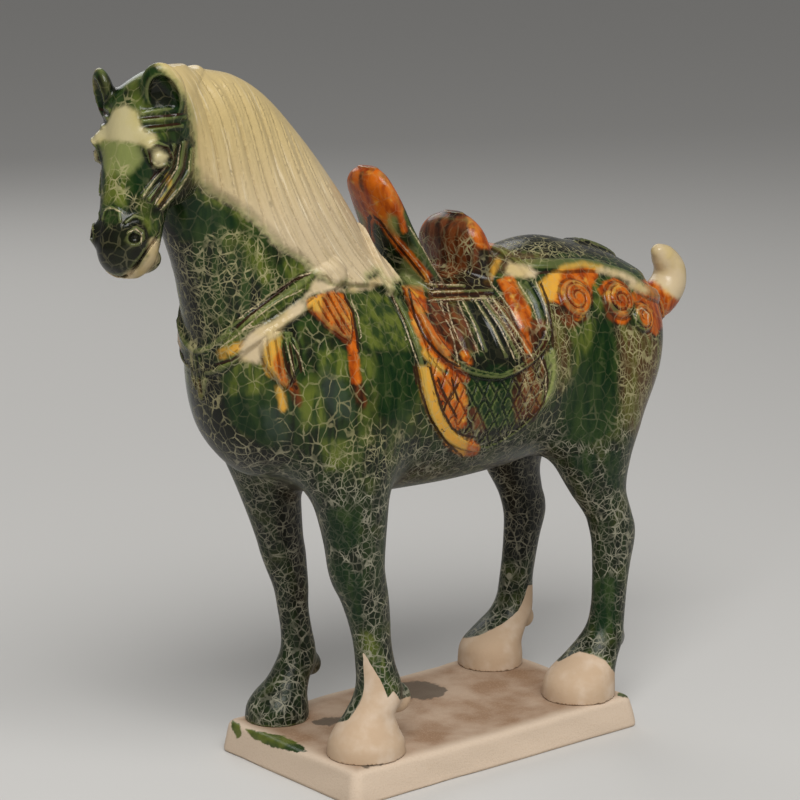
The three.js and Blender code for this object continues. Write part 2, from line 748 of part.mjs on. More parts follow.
// The twelve edges of a cell: from corner, to corner, axis. Corner bits are x, y and z.
const CELL_EDGES = [];
for (let from = 0; from < 8; from += 1) {
  for (let axis = 0; axis < 3; axis += 1) {
    const to = from | (1 << axis);
    if (to !== from) CELL_EDGES.push({ from, to, axis });
  }
}
const cellEdge = (from, axis) => CELL_EDGES.findIndex((edge) => edge.from === from && edge.axis === axis);

// For each pattern of corners inside the body: which patch of skin each crossed edge belongs to.
// Crossed edges of one face are linked in pairs round the corners that are inside.
function patchLabels(pattern) {
  const isInside = (corner) => (pattern >> corner) & 1;
  const crossed = CELL_EDGES.map(({ from, to }) => isInside(from) !== isInside(to));
  const label = crossed.map((is, edge) => (is ? edge : -1));
  const link = (a, b) => {
    const [keep, drop] = [Math.min(label[a], label[b]), Math.max(label[a], label[b])];
    for (let edge = 0; edge < label.length; edge += 1) if (label[edge] === drop) label[edge] = keep;
  };
  for (let axis = 0; axis < 3; axis += 1) {
    for (const side of [0, 1]) {
      const onFace = CELL_EDGES.map(({ from, to }, edge) => edge).filter((edge) => crossed[edge]
        && ((CELL_EDGES[edge].from >> axis) & 1) === side && ((CELL_EDGES[edge].to >> axis) & 1) === side);
      const insideEnd = (edge) => (
        isInside(CELL_EDGES[edge].from) ? CELL_EDGES[edge].from : CELL_EDGES[edge].to
      );
      for (const a of onFace) {
        for (const b of onFace) {
          if (a < b && (onFace.length === 2 || insideEnd(a) === insideEnd(b))) link(a, b);
        }
      }
    }
  }
  const names = [...new Set(label.filter((name) => name >= 0))];
  return { labels: label.map((name) => names.indexOf(name)), count: names.length };
}

// Surface: each patch of the field's zero level in a cell gets one point,
// and the points round each crossed edge are joined by a quad
function fieldMesh(field, low, high) {
  const counts = [0, 1, 2].map((axis) => Math.ceil((high[axis] - low[axis]) / CELL) + 1);
  const [nx, ny, nz] = counts;
  const values = sampleField(field, low, counts);
  const patches = Array.from({ length: CORNER_PATTERNS }, (unused, pattern) => patchLabels(pattern));
  const strides = [1, nx, nx * ny];
  const offsets = [0, 1, 2, 3, 4, 5, 6, 7].map((corner) => (
    (corner & 1) + ((corner >> 1) & 1) * nx + ((corner >> 2) & 1) * nx * ny
  ));
  const patternOf = new Uint8Array(nx * ny * nz);
  const firstOf = new Int32Array(nx * ny * nz);
  const points = [];
  for (let k = 0; k < nz - 1; k += 1) {
    for (let j = 0; j < ny - 1; j += 1) {
      for (let i = 0; i < nx - 1; i += 1) {
        const cell = (k * ny + j) * nx + i;
        let pattern = 0;
        for (let c = 0; c < 8; c += 1) if (values[cell + offsets[c]] < 0) pattern |= 1 << c;
        patternOf[cell] = pattern;
        if (pattern === 0 || pattern === CORNER_PATTERNS - 1) continue;
        firstOf[cell] = points.length / 3;
        const { labels, count } = patches[pattern];
        for (let patch = 0; patch < count; patch += 1) {
          const sum = [0, 0, 0];
          let crossings = 0;
          CELL_EDGES.forEach(({ from, to, axis }, edge) => {
            if (labels[edge] !== patch) return;
            const start = values[cell + offsets[from]];
            const share = start / (start - values[cell + offsets[to]]);
            for (let d = 0; d < 3; d += 1) sum[d] += ((from >> d) & 1) + (d === axis ? share : 0);
            crossings += 1;
          });
          points.push(
            low[0] + (i + sum[0] / crossings) * CELL,
            low[1] + (j + sum[1] / crossings) * CELL,
            low[2] + (k + sum[2] / crossings) * CELL,
          );
        }
      }
    }
  }
  const triangles = [];
  for (let axis = 0; axis < 3; axis += 1) {
    const [next, last] = [(axis + 1) % 3, (axis + 2) % 3];
    const round = [[1, 1], [0, 1], [0, 0], [1, 0]].map(([b, c]) => ({
      step: b * strides[next] + c * strides[last],
      edge: cellEdge((b << next) | (c << last), axis),
    }));
    for (let cell = 0; cell + strides[axis] < values.length; cell += 1) {
      const inside = values[cell] < 0;
      if (inside === values[cell + strides[axis]] < 0) continue;
      const [a, b, c, d] = round.map(({ step, edge }) => (
        firstOf[cell - step] + patches[patternOf[cell - step]].labels[edge]
      ));
      if (inside) triangles.push(a, b, c, a, c, d);
      else triangles.push(a, c, b, a, d, c);
    }
  }
  return { points, triangles };
}

// Field values on a regular grid, worked out only in blocks that the surface may cross
function sampleField(field, low, [nx, ny, nz]) {
  const values = new Float64Array(nx * ny * nz);
  const at = (i, j, k) => field(low[0] + i * CELL, low[1] + j * CELL, low[2] + k * CELL);
  const middle = (BLOCK - 1) / 2;
  const reach = CELL * BLOCK;
  for (let k = 0; k < nz; k += BLOCK) {
    for (let j = 0; j < ny; j += BLOCK) {
      for (let i = 0; i < nx; i += BLOCK) {
        const centre = at(i + middle, j + middle, k + middle);
        const far = Math.abs(centre) > reach;
        for (let c = k; c < Math.min(k + BLOCK, nz); c += 1) {
          for (let b = j; b < Math.min(j + BLOCK, ny); b += 1) {
            for (let a = i; a < Math.min(i + BLOCK, nx); a += 1) {
              values[(c * ny + b) * nx + a] = far ? centre : at(a, b, c);
            }
          }
        }
      }
    }
  }
  return values;
}

// Thinning: edges are folded away, least harm first, until few enough triangles are left.
// Each point keeps the sum of its planes, as ten numbers, to measure the harm.
class Thinner {
  constructor({ points, triangles }) {
    this.points = Float64Array.from(points);
    this.triangles = Int32Array.from(triangles);
    this.alive = new Uint8Array(triangles.length / 3).fill(1);
    this.left = triangles.length / 3;
    this.version = new Int32Array(points.length / 3);
    this.around = Array.from({ length: points.length / 3 }, () => []);
    this.planes = new Float64Array((points.length / 3) * PLANE_SUMS);
    this.heap = [];
    for (let t = 0; t < this.left; t += 1) this.addPlane(t);
  }

  corner(t, c) {
    return this.triangles[3 * t + c];
  }

  // Facing of a triangle, as long as twice its area, with one corner moved if asked
  facing(t, movedCorner, [mx, my, mz]) {
    const at = [0, 1, 2].map((c) => {
      const v = this.corner(t, c);
      return v === movedCorner ? [mx, my, mz] : this.points.subarray(3 * v, 3 * v + 3);
    });
    const [ax, ay, az] = at[0];
    const ux = at[1][0] - ax;
    const uy = at[1][1] - ay;
    const uz = at[1][2] - az;
    const vx = at[2][0] - ax;
    const vy = at[2][1] - ay;
    const vz = at[2][2] - az;
    return [uy * vz - uz * vy, uz * vx - ux * vz, ux * vy - uy * vx];
  }

  addPlane(t) {
    const [nx, ny, nz] = this.facing(t, -1, [0, 0, 0]);
    const size = Math.hypot(nx, ny, nz) || 1;
    const first = 3 * this.corner(t, 0);
    const [a, b, c] = [nx / size, ny / size, nz / size];
    const d = -(a * this.points[first] + b * this.points[first + 1] + c * this.points[first + 2]);
    const sums = [a * a, a * b, a * c, a * d, b * b, b * c, b * d, c * c, c * d, d * d];
    for (let corner = 0; corner < 3; corner += 1) {
      const v = this.corner(t, corner);
      this.around[v].push(t);
      for (let i = 0; i < PLANE_SUMS; i += 1) this.planes[v * PLANE_SUMS + i] += sums[i] * size;
    }
  }

  // Best place for two points folded into one, and the harm that it does
  foldPlan(v, w) {
    const q = [];
    for (let i = 0; i < PLANE_SUMS; i += 1) {
      q.push(this.planes[v * PLANE_SUMS + i] + this.planes[w * PLANE_SUMS + i]);
    }
    const harm = ([x, y, z]) => q[0] * x * x + 2 * q[1] * x * y + 2 * q[2] * x * z + 2 * q[3] * x
      + q[4] * y * y + 2 * q[5] * y * z + 2 * q[6] * y + q[7] * z * z + 2 * q[8] * z + q[9];
    const at = [...this.points.subarray(3 * v, 3 * v + 3)];
    const to = [...this.points.subarray(3 * w, 3 * w + 3)];
    const middle = at.map((value, axis) => (value + to[axis]) / 2);
    const span = Math.hypot(at[0] - to[0], at[1] - to[1], at[2] - to[2]);
    const lean = SPREAD_WEIGHT * (q[0] + q[4] + q[7]);
    const [a, b, c] = [q[0] + lean, q[4] + lean, q[7] + lean];
    const minorA = b * c - q[5] * q[5];
    const minorB = q[1] * c - q[5] * q[2];
    const minorC = q[1] * q[5] - b * q[2];
    const size = a * minorA - q[1] * minorB + q[2] * minorC;
    const rx = lean * middle[0] - q[3];
    const ry = lean * middle[1] - q[6];
    const rz = lean * middle[2] - q[8];
    let place = middle;
    if (Math.abs(size) > SINGULAR) {
      place = [
        (rx * minorA - q[1] * (ry * c - q[5] * rz) + q[2] * (ry * q[5] - b * rz)) / size,
        (a * (ry * c - q[5] * rz) - rx * minorB + q[2] * (q[1] * rz - ry * q[2])) / size,
        (a * (b * rz - ry * q[5]) - q[1] * (q[1] * rz - ry * q[2]) + rx * minorC) / size,
      ];
    }
    return { place, cost: harm(place) + LENGTH_WEIGHT * span * span };
  }

  push(v, w) {
    const { cost } = this.foldPlan(v, w);
    const entry = [cost, v, w, this.version[v], this.version[w]];
    const heap = this.heap;
    let i = heap.length;
    heap.push(entry);
    while (i > 0) {
      const parent = (i - 1) >> 1;
      if (heap[parent][0] <= cost) break;
      heap[i] = heap[parent];
      i = parent;
    }
    heap[i] = entry;
  }

  pop() {
    const heap = this.heap;
    const top = heap[0];
    const entry = heap.pop();
    if (heap.length === 0) return top;
    let i = 0;
    for (;;) {
      let child = 2 * i + 1;
      if (child >= heap.length) break;
      if (child + 1 < heap.length && heap[child + 1][0] < heap[child][0]) child += 1;
      if (heap[child][0] >= entry[0]) break;
      heap[i] = heap[child];
      i = child;
    }
    heap[i] = entry;
    return top;
  }

  neighbours(v) {
    const found = new Set();
    for (const t of this.around[v]) for (let c = 0; c < 3; c += 1) found.add(this.corner(t, c));
    found.delete(v);
    return found;
  }

  // A fold is allowed where it joins two triangles' worth of skin and turns no triangle over
  mayFold(v, w, place) {
    const others = this.neighbours(w);
    let shared = 0;
    for (const n of this.neighbours(v)) if (others.has(n)) shared += 1;
    if (shared !== 2) return false;
    for (const [keep, gone] of [[v, w], [w, v]]) {
      for (const t of this.around[keep]) {
        if ([0, 1, 2].some((c) => this.corner(t, c) === gone)) continue;
        const before = this.facing(t, -1, place);
        const after = this.facing(t, keep, place);
        const dot = before[0] * after[0] + before[1] * after[1] + before[2] * after[2];
        if (dot < TURN_LIMIT * Math.hypot(...before) * Math.hypot(...after) + SLIVER_AREA) return false;
      }
    }
    return true;
  }

  fold(v, w, place) {
    this.points.set(place, 3 * v);
    for (let i = 0; i < PLANE_SUMS; i += 1) {
      this.planes[v * PLANE_SUMS + i] += this.planes[w * PLANE_SUMS + i];
    }
    for (const t of this.around[w]) {
      const corners = [0, 1, 2].map((c) => this.corner(t, c));
      if (corners.includes(v)) {
        this.alive[t] = 0;
        this.left -= 1;
        for (const c of corners) if (c !== w) this.around[c] = this.around[c].filter((other) => other !== t);
      } else {
        this.triangles[3 * t + corners.indexOf(w)] = v;
        this.around[v].push(t);
      }
    }
    this.around[w] = [];
    this.version[v] += 1;
    this.version[w] += 1;
    for (const n of this.neighbours(v)) this.push(v, n);
  }

  thinTo(target) {
    for (let t = 0; t < this.alive.length; t += 1) {
      for (let c = 0; c < 3; c += 1) {
        const [v, w] = [this.corner(t, c), this.corner(t, (c + 1) % 3)];
        if (v < w) this.push(v, w);
      }
    }
    while (this.left > target && this.heap.length > 0) {
      const [, v, w, versionV, versionW] = this.pop();
      if (this.version[v] !== versionV || this.version[w] !== versionW) continue;
      const { place } = this.foldPlan(v, w);
      if (this.mayFold(v, w, place)) this.fold(v, w, place);
    }
    const kept = [];
    for (let t = 0; t < this.alive.length; t += 1) {
      if (this.alive[t]) kept.push(this.corner(t, 0), this.corner(t, 1), this.corner(t, 2));
    }
    return geometryOf(this.points, kept);
  }
}

function geometryOf(points, triangles) {
  const renumbered = new Map();
  const kept = [];
  const index = triangles.map((v) => {
    if (!renumbered.has(v)) {
      renumbered.set(v, renumbered.size);
      kept.push(points[3 * v], points[3 * v + 1], points[3 * v + 2]);
    }
    return renumbered.get(v);
  });
  const geometry = new THREE.BufferGeometry();
  geometry.setAttribute("position", new THREE.Float32BufferAttribute(kept, 3));
  geometry.setIndex(index);
  return geometry;
}

// Solid cuts
const solids = await Module();
solids.setup();

function solidOf(geometry) {
  const bare = geometry.clone();
  bare.deleteAttribute("normal");
  bare.deleteAttribute("uv");
  const merged = mergeVertices(bare);
  return new solids.Manifold(new solids.Mesh({
    numProp: 3,
    vertProperties: merged.attributes.position.array,
    triVerts: Uint32Array.from(merged.index.array),
  }));
}

// The figure stands flat: all that is below the ground under the hooves is cut away
function standFlat(geometry) {
  const ground = new THREE.BoxGeometry(GRID_HEIGHT * 2, GRID_HEIGHT, GRID_HEIGHT);
  ground.translate(0, 0, -GRID_HEIGHT / 2);
  const mesh = solidOf(geometry).subtract(solidOf(ground)).getMesh();
  return geometryOf(mesh.vertProperties, Array.from(mesh.triVerts));
}

// The slab: a rounded oblong below, and the same set in by the batter above
function slabOutline(length, width, radius) {
  const outline = new THREE.Shape();
  const [x, y] = [length / 2 - radius, width / 2 - radius];
  outline.absarc(x, y, radius, 0, Math.PI / 2);
  outline.absarc(-x, y, radius, Math.PI / 2, Math.PI);
  outline.absarc(-x, -y, radius, Math.PI, 1.5 * Math.PI);
  outline.absarc(x, -y, radius, 1.5 * Math.PI, 2 * Math.PI);
  return outline.getPoints(CORNER_STEPS).slice(0, -1);
}

function slabGeometry() {
  const foot = slabOutline(SLAB_LENGTH, SLAB_WIDTH, SLAB_CORNER_RADIUS);
  const setIn = 2 * SLAB_BATTER;
  const top = slabOutline(SLAB_LENGTH - setIn, SLAB_WIDTH - setIn, SLAB_CORNER_RADIUS);
  const count = foot.length;
  const points = [];
  for (const point of foot) points.push(point.x, point.y, 0);
  for (const point of top) points.push(point.x, point.y, SLAB_THICKNESS);
  const triangles = [];
  for (let i = 0; i < count; i += 1) {
    const next = (i + 1) % count;
    triangles.push(i, next, count + next, i, count + next, count + i);
  }
  for (const [a, b, c] of THREE.ShapeUtils.triangulateShape(foot, [])) {
    triangles.push(a, c, b, count + a, count + b, count + c);
  }
  return geometryOf(points, triangles);
}

const greenGlaze = new THREE.MeshStandardMaterial({ color: 0x2f4a2c, roughness: 0.25, metalness: 0 });
const bareClay = new THREE.MeshStandardMaterial({ color: 0xcdb49c, roughness: 0.85, metalness: 0 });

const roughHorse = new Thinner(fieldMesh(horseField, FIELD_LOW, FIELD_HIGH)).thinTo(HORSE_TRIANGLES);
const horseGeometry = standFlat(roughHorse);
horseGeometry.scale(UNIT, UNIT, UNIT);
horseGeometry.computeVertexNormals();
const horse = new THREE.Mesh(horseGeometry, greenGlaze);
horse.name = "horse";
horse.position.z = SLAB_THICKNESS;

const plinthGeometry = slabGeometry().toNonIndexed();
plinthGeometry.computeVertexNormals();
const plinth = new THREE.Mesh(plinthGeometry, bareClay);
plinth.name = "plinth";

const group = new THREE.Group();
group.add(horse, plinth);

export default group;
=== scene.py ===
import math

import bpy
import numpy as np
from mathutils import Matrix, Vector


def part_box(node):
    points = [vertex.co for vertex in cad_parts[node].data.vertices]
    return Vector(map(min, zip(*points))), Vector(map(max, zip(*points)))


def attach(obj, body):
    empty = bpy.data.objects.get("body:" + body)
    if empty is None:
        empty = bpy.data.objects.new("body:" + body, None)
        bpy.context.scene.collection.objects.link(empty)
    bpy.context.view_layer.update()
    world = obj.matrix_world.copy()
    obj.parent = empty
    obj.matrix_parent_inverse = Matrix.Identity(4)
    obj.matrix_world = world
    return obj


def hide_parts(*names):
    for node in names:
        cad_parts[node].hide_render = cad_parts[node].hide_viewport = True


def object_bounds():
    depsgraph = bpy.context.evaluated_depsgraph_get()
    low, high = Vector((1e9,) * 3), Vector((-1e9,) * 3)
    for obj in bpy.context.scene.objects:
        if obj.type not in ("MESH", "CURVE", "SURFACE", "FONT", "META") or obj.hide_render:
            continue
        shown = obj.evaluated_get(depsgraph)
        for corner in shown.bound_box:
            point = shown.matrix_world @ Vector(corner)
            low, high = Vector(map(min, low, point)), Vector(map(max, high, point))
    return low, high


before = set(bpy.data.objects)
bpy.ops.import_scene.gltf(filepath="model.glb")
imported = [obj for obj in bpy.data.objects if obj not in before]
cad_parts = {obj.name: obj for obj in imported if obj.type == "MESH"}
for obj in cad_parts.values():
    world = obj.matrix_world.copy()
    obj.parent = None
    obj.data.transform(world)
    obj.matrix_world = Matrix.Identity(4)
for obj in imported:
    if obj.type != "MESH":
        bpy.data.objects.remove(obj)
cad_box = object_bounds()

# The figure is drawn on the same grid as its solid: millimetres from the ground under the hooves.
# Along is towards the tail, across is towards the horse's right, and up is up.
MILLIMETRE = 0.001
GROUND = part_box("plinth")[1].z

# Mesh fineness, in millimetres and in triangles
CELL = 1.0
BLOCK = 6
BLOCK_REACH = 8
FIELD_LOW = (-228, -66, -4)
FIELD_HIGH = (190, 66, 362)
HORSE_TRIANGLES = 196000
CHUNK = 300000
NORMAL_STEP = 0.35
SLOPE_STEP = 0.5

# Stand-ins: a distance that no place reaches, and lengths too small to divide by
VERY_FAR = 1e9
TINY = 1e-9
SHORTEST_GAP = 1e-4

ROD_REACH = 8
SKIN_ROUNDS = 4
STRAP_STEPS = 6
TAIL_STEPS = 4


# Basic sums on whole arrays
def ease(low, high, value):
    share = np.clip((value - low) / (high - low), 0, 1)
    return share * share * (3 - 2 * share)


def bank(low, high, slope, value):
    return ease(low - slope, low, value) - ease(high, high + slope, value)


def mix(a, b, share):
    return a + (b - a) * share


def join(a, b, reach):
    overlap = np.maximum(reach - np.abs(a - b), 0) / reach
    return np.minimum(a, b) - overlap * overlap * reach / 4


def carve(body, tool, reach):
    return -join(-body, tool, reach)


def oval_distance(u, v, half_u, half_v):
    nearness = np.hypot(u / half_u, v / half_v)
    steepness = np.hypot(u / half_u**2, v / half_v**2)
    return nearness * (nearness - 1) / np.maximum(steepness, TINY)


def egg_distance(u, v, w, egg):
    places = [(value - at) / half for value, at, half in zip((u, v, w), egg["at"], egg["halves"])]
    nearness = np.sqrt(sum(place**2 for place in places))
    steepness = np.sqrt(sum((place / half) ** 2 for place, half in zip(places, egg["halves"])))
    return nearness * (nearness - 1) / np.maximum(steepness, TINY)


def smooth_table(stations):
    """Centre and half sizes at places along one axis, read off at every unit."""
    rows = np.array(stations, float)
    places = rows[:, 0]
    count = math.ceil(places[-1] - places[0]) + 1
    at = np.minimum(places[0] + np.arange(count), places[-1])
    k = np.clip(np.searchsorted(places, at, side="right") - 1, 0, len(places) - 2)
    before, after = rows[np.maximum(k - 1, 0)], rows[np.minimum(k + 2, len(places) - 1)]
    start, end = rows[k], rows[k + 1]
    span = (end[:, 0] - start[:, 0])[:, None]
    share = (at - start[:, 0])[:, None] / span
    slope_in = (end - before) / (end[:, :1] - before[:, :1]) * span
    slope_out = (after - start) / (after[:, :1] - start[:, :1]) * span
    square, cube = share**2, share**3
    values = (
        start * (2 * cube - 3 * square + 1)
        + slope_in * (cube - 2 * square + share)
        + end * (3 * square - 2 * cube)
        + slope_out * (cube - square)
    )
    return places[0], values[:, 1:]


def read_table(table, at, column):
    start, values = table
    return np.interp(at - start, np.arange(len(values)), values[:, column])


def sectioned_mass(table, at, u, v, egg=0.0):
    """A mass whose sections are ellipses; egg narrows them towards the low end of u."""
    half_u = read_table(table, at, 2)
    du = u - read_table(table, at, 0)
    half_v = read_table(table, at, 3) * (1 + egg * np.clip(du / half_u, -1, 1))
    across = oval_distance(du, v - read_table(table, at, 1), half_u, half_v)
    start, values = table
    past = np.maximum(start - at, at - start - (len(values) - 1))
    return np.where((past > 0) & (across > 0), np.hypot(across, past), np.maximum(across, past))


def smooth_rod(stops, steps):
    """A round rod along a smooth path: each stop is along, across, up and radius."""
    points = np.array(stops, float)
    ends = [2 * points[0] - points[1], 2 * points[-1] - points[-2]]
    around = np.vstack([ends[0], points, ends[1]])
    rod = []
    for k in range(len(points) - 1):
        p0, p1, p2, p3 = around[k:k + 4, :3]
        gaps = [max(math.dist(a, b) ** 0.5, SHORTEST_GAP) for a, b in ((p0, p1), (p1, p2), (p2, p3))]
        d0, d1, d2 = gaps
        slope_in = ((p1 - p0) / d0 - (p2 - p0) / (d0 + d1) + (p2 - p1) / d1) * d1
        slope_out = ((p2 - p1) / d1 - (p3 - p1) / (d1 + d2) + (p3 - p2) / d2) * d1
        for step in range(steps):
            t = step / steps
            place = (
                p1 + slope_in * t
                + (3 * (p2 - p1) - 2 * slope_in - slope_out) * t**2
                + (2 * (p1 - p2) + slope_in + slope_out) * t**3
            )
            rod.append([*place, mix(points[k][3], points[k + 1][3], t)])
    rod.append(list(points[-1]))
    return np.array(rod)


def rod_distance(rod, x, y, z):
    """Distance from places to the skin of a rod. Far places get the distance to its box."""
    low = (rod[:, :3] - rod[:, 3:]).min(axis=0)
    high = (rod[:, :3] + rod[:, 3:]).max(axis=0)
    gaps = [np.maximum(np.maximum(a - value, value - b), 0) for value, a, b in zip((x, y, z), low, high)]
    d = np.sqrt(sum(gap**2 for gap in gaps))
    near = np.nonzero(d <= ROD_REACH)[0]
    best = np.full(len(near), VERY_FAR)
    place = np.stack([x[near], y[near], z[near]])
    for a, b in zip(rod[:-1], rod[1:]):
        step = b[:3] - a[:3]
        off = place - a[:3, None]
        share = np.clip(step @ off / (step @ step), 0, 1)
        gap = np.sqrt(((off - step[:, None] * share) ** 2).sum(axis=0))
        best = np.minimum(best, gap - mix(a[3], b[3], share))
    d[near] = best
    return d


# Body: place along, centre up, centre across, half height, half width
BARREL = smooth_table([
    (-118, 188, 0, 36, 34),
    (-100, 187, 0, 46, 43),
    (-75, 183, 0, 55, 49),
    (-40, 180, 0, 53.5, 51),
    (0, 177, 0, 51, 52),
    (40, 184.5, 0, 56.5, 51),
    (70, 190, 0, 57, 48),
    (95, 190, 0, 51, 44),
    (120, 190, 0, 39, 36),
    (136, 190, 0, 24, 22),
])
CHEST = {"at": (-114, 0, 188), "halves": (30, 38, 41), "fillet": 14}
RUMP = {"at": (102, 0, 193), "halves": (37, 39.5, 40), "fillet": 16}
LEG_FILLET = 16
NECK_FILLET = 22

# Legs: height, centre along, centre across, half depth, half width
NEAR_FORELEG = smooth_table([
    (-9, -73, -34, 20.5, 19.5),
    (6, -73, -34, 20, 19),
    (13, -73, -34, 17, 16),
    (20, -71, -34, 13.6, 12.6),
    (28, -66, -34, 13, 12),
    (36, -65, -34, 12, 10.6),
    (46, -67, -34, 10.6, 9.2),
    (58, -69, -34, 10.3, 8.6),
    (70, -71, -34, 11.4, 9.6),
    (82, -74, -34, 13, 11),
    (90, -77, -34, 14.4, 12.2),
    (98, -79, -34, 15, 13),
    (112, -80, -34, 16.2, 14.6),
    (130, -82, -34, 19, 17.6),
    (148, -85, -33, 24, 20),
    (178, -90, -30, 30, 21),
    (205, -92, -26, 24, 16),
])
FAR_FORELEG = smooth_table([
    (-9, -74, 39, 17, 17),
    (6, -74, 39, 16.5, 16.5),
    (13, -72, 39, 14.5, 14),
    (20, -67, 39, 11.8, 11),
    (28, -62, 39, 11, 10),
    (36, -60, 39, 9.6, 8.6),
    (46, -61, 39, 8.6, 7.6),
    (58, -63, 39, 8.6, 7.4),
    (70, -65, 38, 9.6, 8.4),
    (82, -68, 38, 11.4, 9.8),
    (90, -70, 38, 12.4, 10.8),
    (98, -72, 38, 12.8, 11.4),
    (112, -76, 37, 14.6, 13.2),
    (130, -81, 36, 17.6, 16),
    (148, -86, 34, 22, 19),
    (178, -92, 31, 29, 21),
    (205, -94, 26, 24, 16),
])
NEAR_HINDLEG = smooth_table([
    (-9, 74, -35, 20, 19),
    (6, 74, -35, 20, 19),
    (13, 76, -35, 18.5, 17.5),
    (20, 82, -35, 15.5, 14.5),
    (28, 89, -35, 13, 11.8),
    (36, 93, -35, 10.9, 9.4),
    (46, 95, -35, 10.2, 8.4),
    (58, 96, -35, 10.7, 8.2),
    (70, 97, -35, 11.8, 8.6),
    (82, 98, -35, 13.4, 9.4),
    (90, 97, -35, 14.2, 10),
    (98, 94, -35, 14.2, 10.6),
    (112, 87, -34, 17, 13),
    (130, 83, -33, 23.5, 18),
    (148, 84, -31, 31, 22),
    (178, 93.5, -29, 35, 21.5),
    (205, 100, -24, 33, 17),
    (222, 100, -20, 24, 13),
])
FAR_HINDLEG = smooth_table([
    (-9, 75, 38, 18, 18),
    (6, 75, 38, 18, 18),
    (13, 76, 38, 17, 16.5),
    (20, 82, 38, 15, 14),
    (28, 90, 38, 12.4, 11.4),
    (36, 93, 38, 10.9, 9.4),
    (46, 94, 38, 10.2, 8.4),
    (58, 96, 38, 10.6, 8.2),
    (70, 98, 38, 11.5, 8.6),
    (82, 100, 38, 13.2, 9.4),
    (90, 99, 38, 13.8, 10),
    (98, 96, 38, 14, 10.6),
    (112, 90, 37, 17, 13),
    (130, 87, 35, 23.5, 18),
    (148, 88, 33, 30, 22),
    (178, 94.5, 29, 34, 21.5),
    (205, 100, 24, 32, 17),
    (222, 100, 20, 24, 13),
])
HEEL_TUFTS = [
    {"at": (-52, -34, 25), "halves": (7, 5.6, 7.7)},
    {"at": (-51, 39, 25), "halves": (5.5, 4.4, 6)},
    {"at": (101, -35, 27), "halves": (5.5, 4.4, 6)},
    {"at": (101, 38, 22), "halves": (5.5, 4.4, 6)},
]
TUFT_FILLET = 5

# Neck: place up the neck, then across its length (positive to the throat) and to the left
NECK_FOOT = (-80, 190)
NECK_LEAN = 26
NECK = smooth_table([
    (10, -3, 0, 51, 36),
    (40, -2, 0, 52, 34),
    (60, -2.5, 0, 51.5, 31),
    (87, -2.5, 1, 46.5, 27),
    (117, 0.5, 2, 41.5, 22.5),
    (145, 4.5, 4, 34.5, 19.5),
    (162, 9.5, 5, 27.5, 17.5),
    (173, 14.5, 6, 18.5, 13.5),
])
NECK_EGG = 0.3

# Head: height, centre ahead of the poll, centre left, half depth, half width
HEAD_AT = (-160, -6)
HEAD_TURN = 20
HEAD = smooth_table([
    (257, 47, 0, 5, 6),
    (260, 47, 0, 9.5, 10),
    (266, 47.5, 0.8, 14, 13),
    (274, 46.5, 1, 16.5, 14),
    (282, 43, 0.2, 17.5, 14),
    (290, 38, -1, 19.5, 14.2),
    (300, 32.5, -1.2, 23, 15.7),
    (311, 29, -0.6, 24.5, 18.1),
    (321, 27, 0, 25, 19.5),
    (332, 24, 0, 24, 19.5),
    (341, 21.5, 0, 22, 17.5),
    (348, 18.5, 2.5, 18.5, 10.5),
    (352, 16.5, 4, 11, 5),
])
HEAD_FILLET = 6
HEAD_LUMPS = [
    {"at": (22, 9.5, 307), "halves": (17, 8, 19), "fillet": 4},
    {"at": (41, 13.5, 319), "halves": (9, 5.6, 5), "fillet": 5},
    {"at": (41, 16.3, 312.5), "halves": (5.8, 3.8, 4), "fillet": 1.5},
    {"at": (37, 0, 264), "halves": (11, 9.5, 7), "fillet": 2},
    {"at": (54.5, 9.2, 277), "halves": (5, 5, 5.6), "fillet": 3},
]
NOSTRIL = {"at": (58.5, 13, 277.5), "halves": (3.4, 3, 2.6), "fillet": 1}
MOUTH = {
    "height": 257.5, "bow": 0.06, "rise": 0.6, "front": 54, "back": 42, "opening": 1, "depth": 2.4,
    "fillet": 0.8,
}

TAIL = smooth_rod([
    (136, 0, 206, 10),
    (151, 0, 201, 10.6),
    (163, 0, 202.5, 10.8),
    (171.5, 0, 210, 10),
    (172.5, 0, 218, 8.8),
    (168, 0, 225, 7),
    (164, 0, 228.5, 4.6),
], TAIL_STEPS)
TAIL_FILLET = 5

# Saddle boards: height, centre along, centre across, half thickness, half width
POMMEL = smooth_table([
    (222, -12, 0, 10, 25),
    (238, -19, 0, 8.5, 24),
    (250, -25, 0.4, 7.4, 21.9),
    (262, -31, 0.8, 6.8, 20.3),
    (274, -36.5, 1, 7, 19),
    (283, -40.5, 1.5, 7, 16.8),
    (289, -42, 1.5, 5.5, 12.5),
    (292.5, -42.5, 1, 2.5, 7),
])
CANTLE = smooth_table([
    (222, 25, 1, 13, 26),
    (238, 19.5, 2.5, 12, 26),
    (248, 16.5, 3, 11.5, 25),
    (256, 15, 2.5, 10, 21),
    (261.5, 14.5, 2, 6.5, 14.5),
    (264.5, 14.5, 1, 2.5, 7),
])
SEAT = {"at": (0, 0, 224), "halves": (34, 27, 12.5)}
SEAT_FILLET = 6
SADDLE_FILLET = 4

# Flaps lie on the barrel. Girth is measured round it from the backbone.
GIRTH_CENTRE = 182
GIRTH_RADIUS = 52
FLAP_POINT = 0.6
FLAP_EDGE = 1.6
MUD_FLAP = {
    "middle": -4.5, "half": 47, "straight_to": 60, "foot": 115, "roundness": 3, "raise": 2, "rim": 7.5,
}
SADDLE_FLAP = {
    "middle": -1, "half": 41.5, "straight_to": 40, "foot": 77, "roundness": 3, "raise": 2, "rim": 6,
}
RIM_RAISE = 0.8
RIM_SLOPE = 1.2

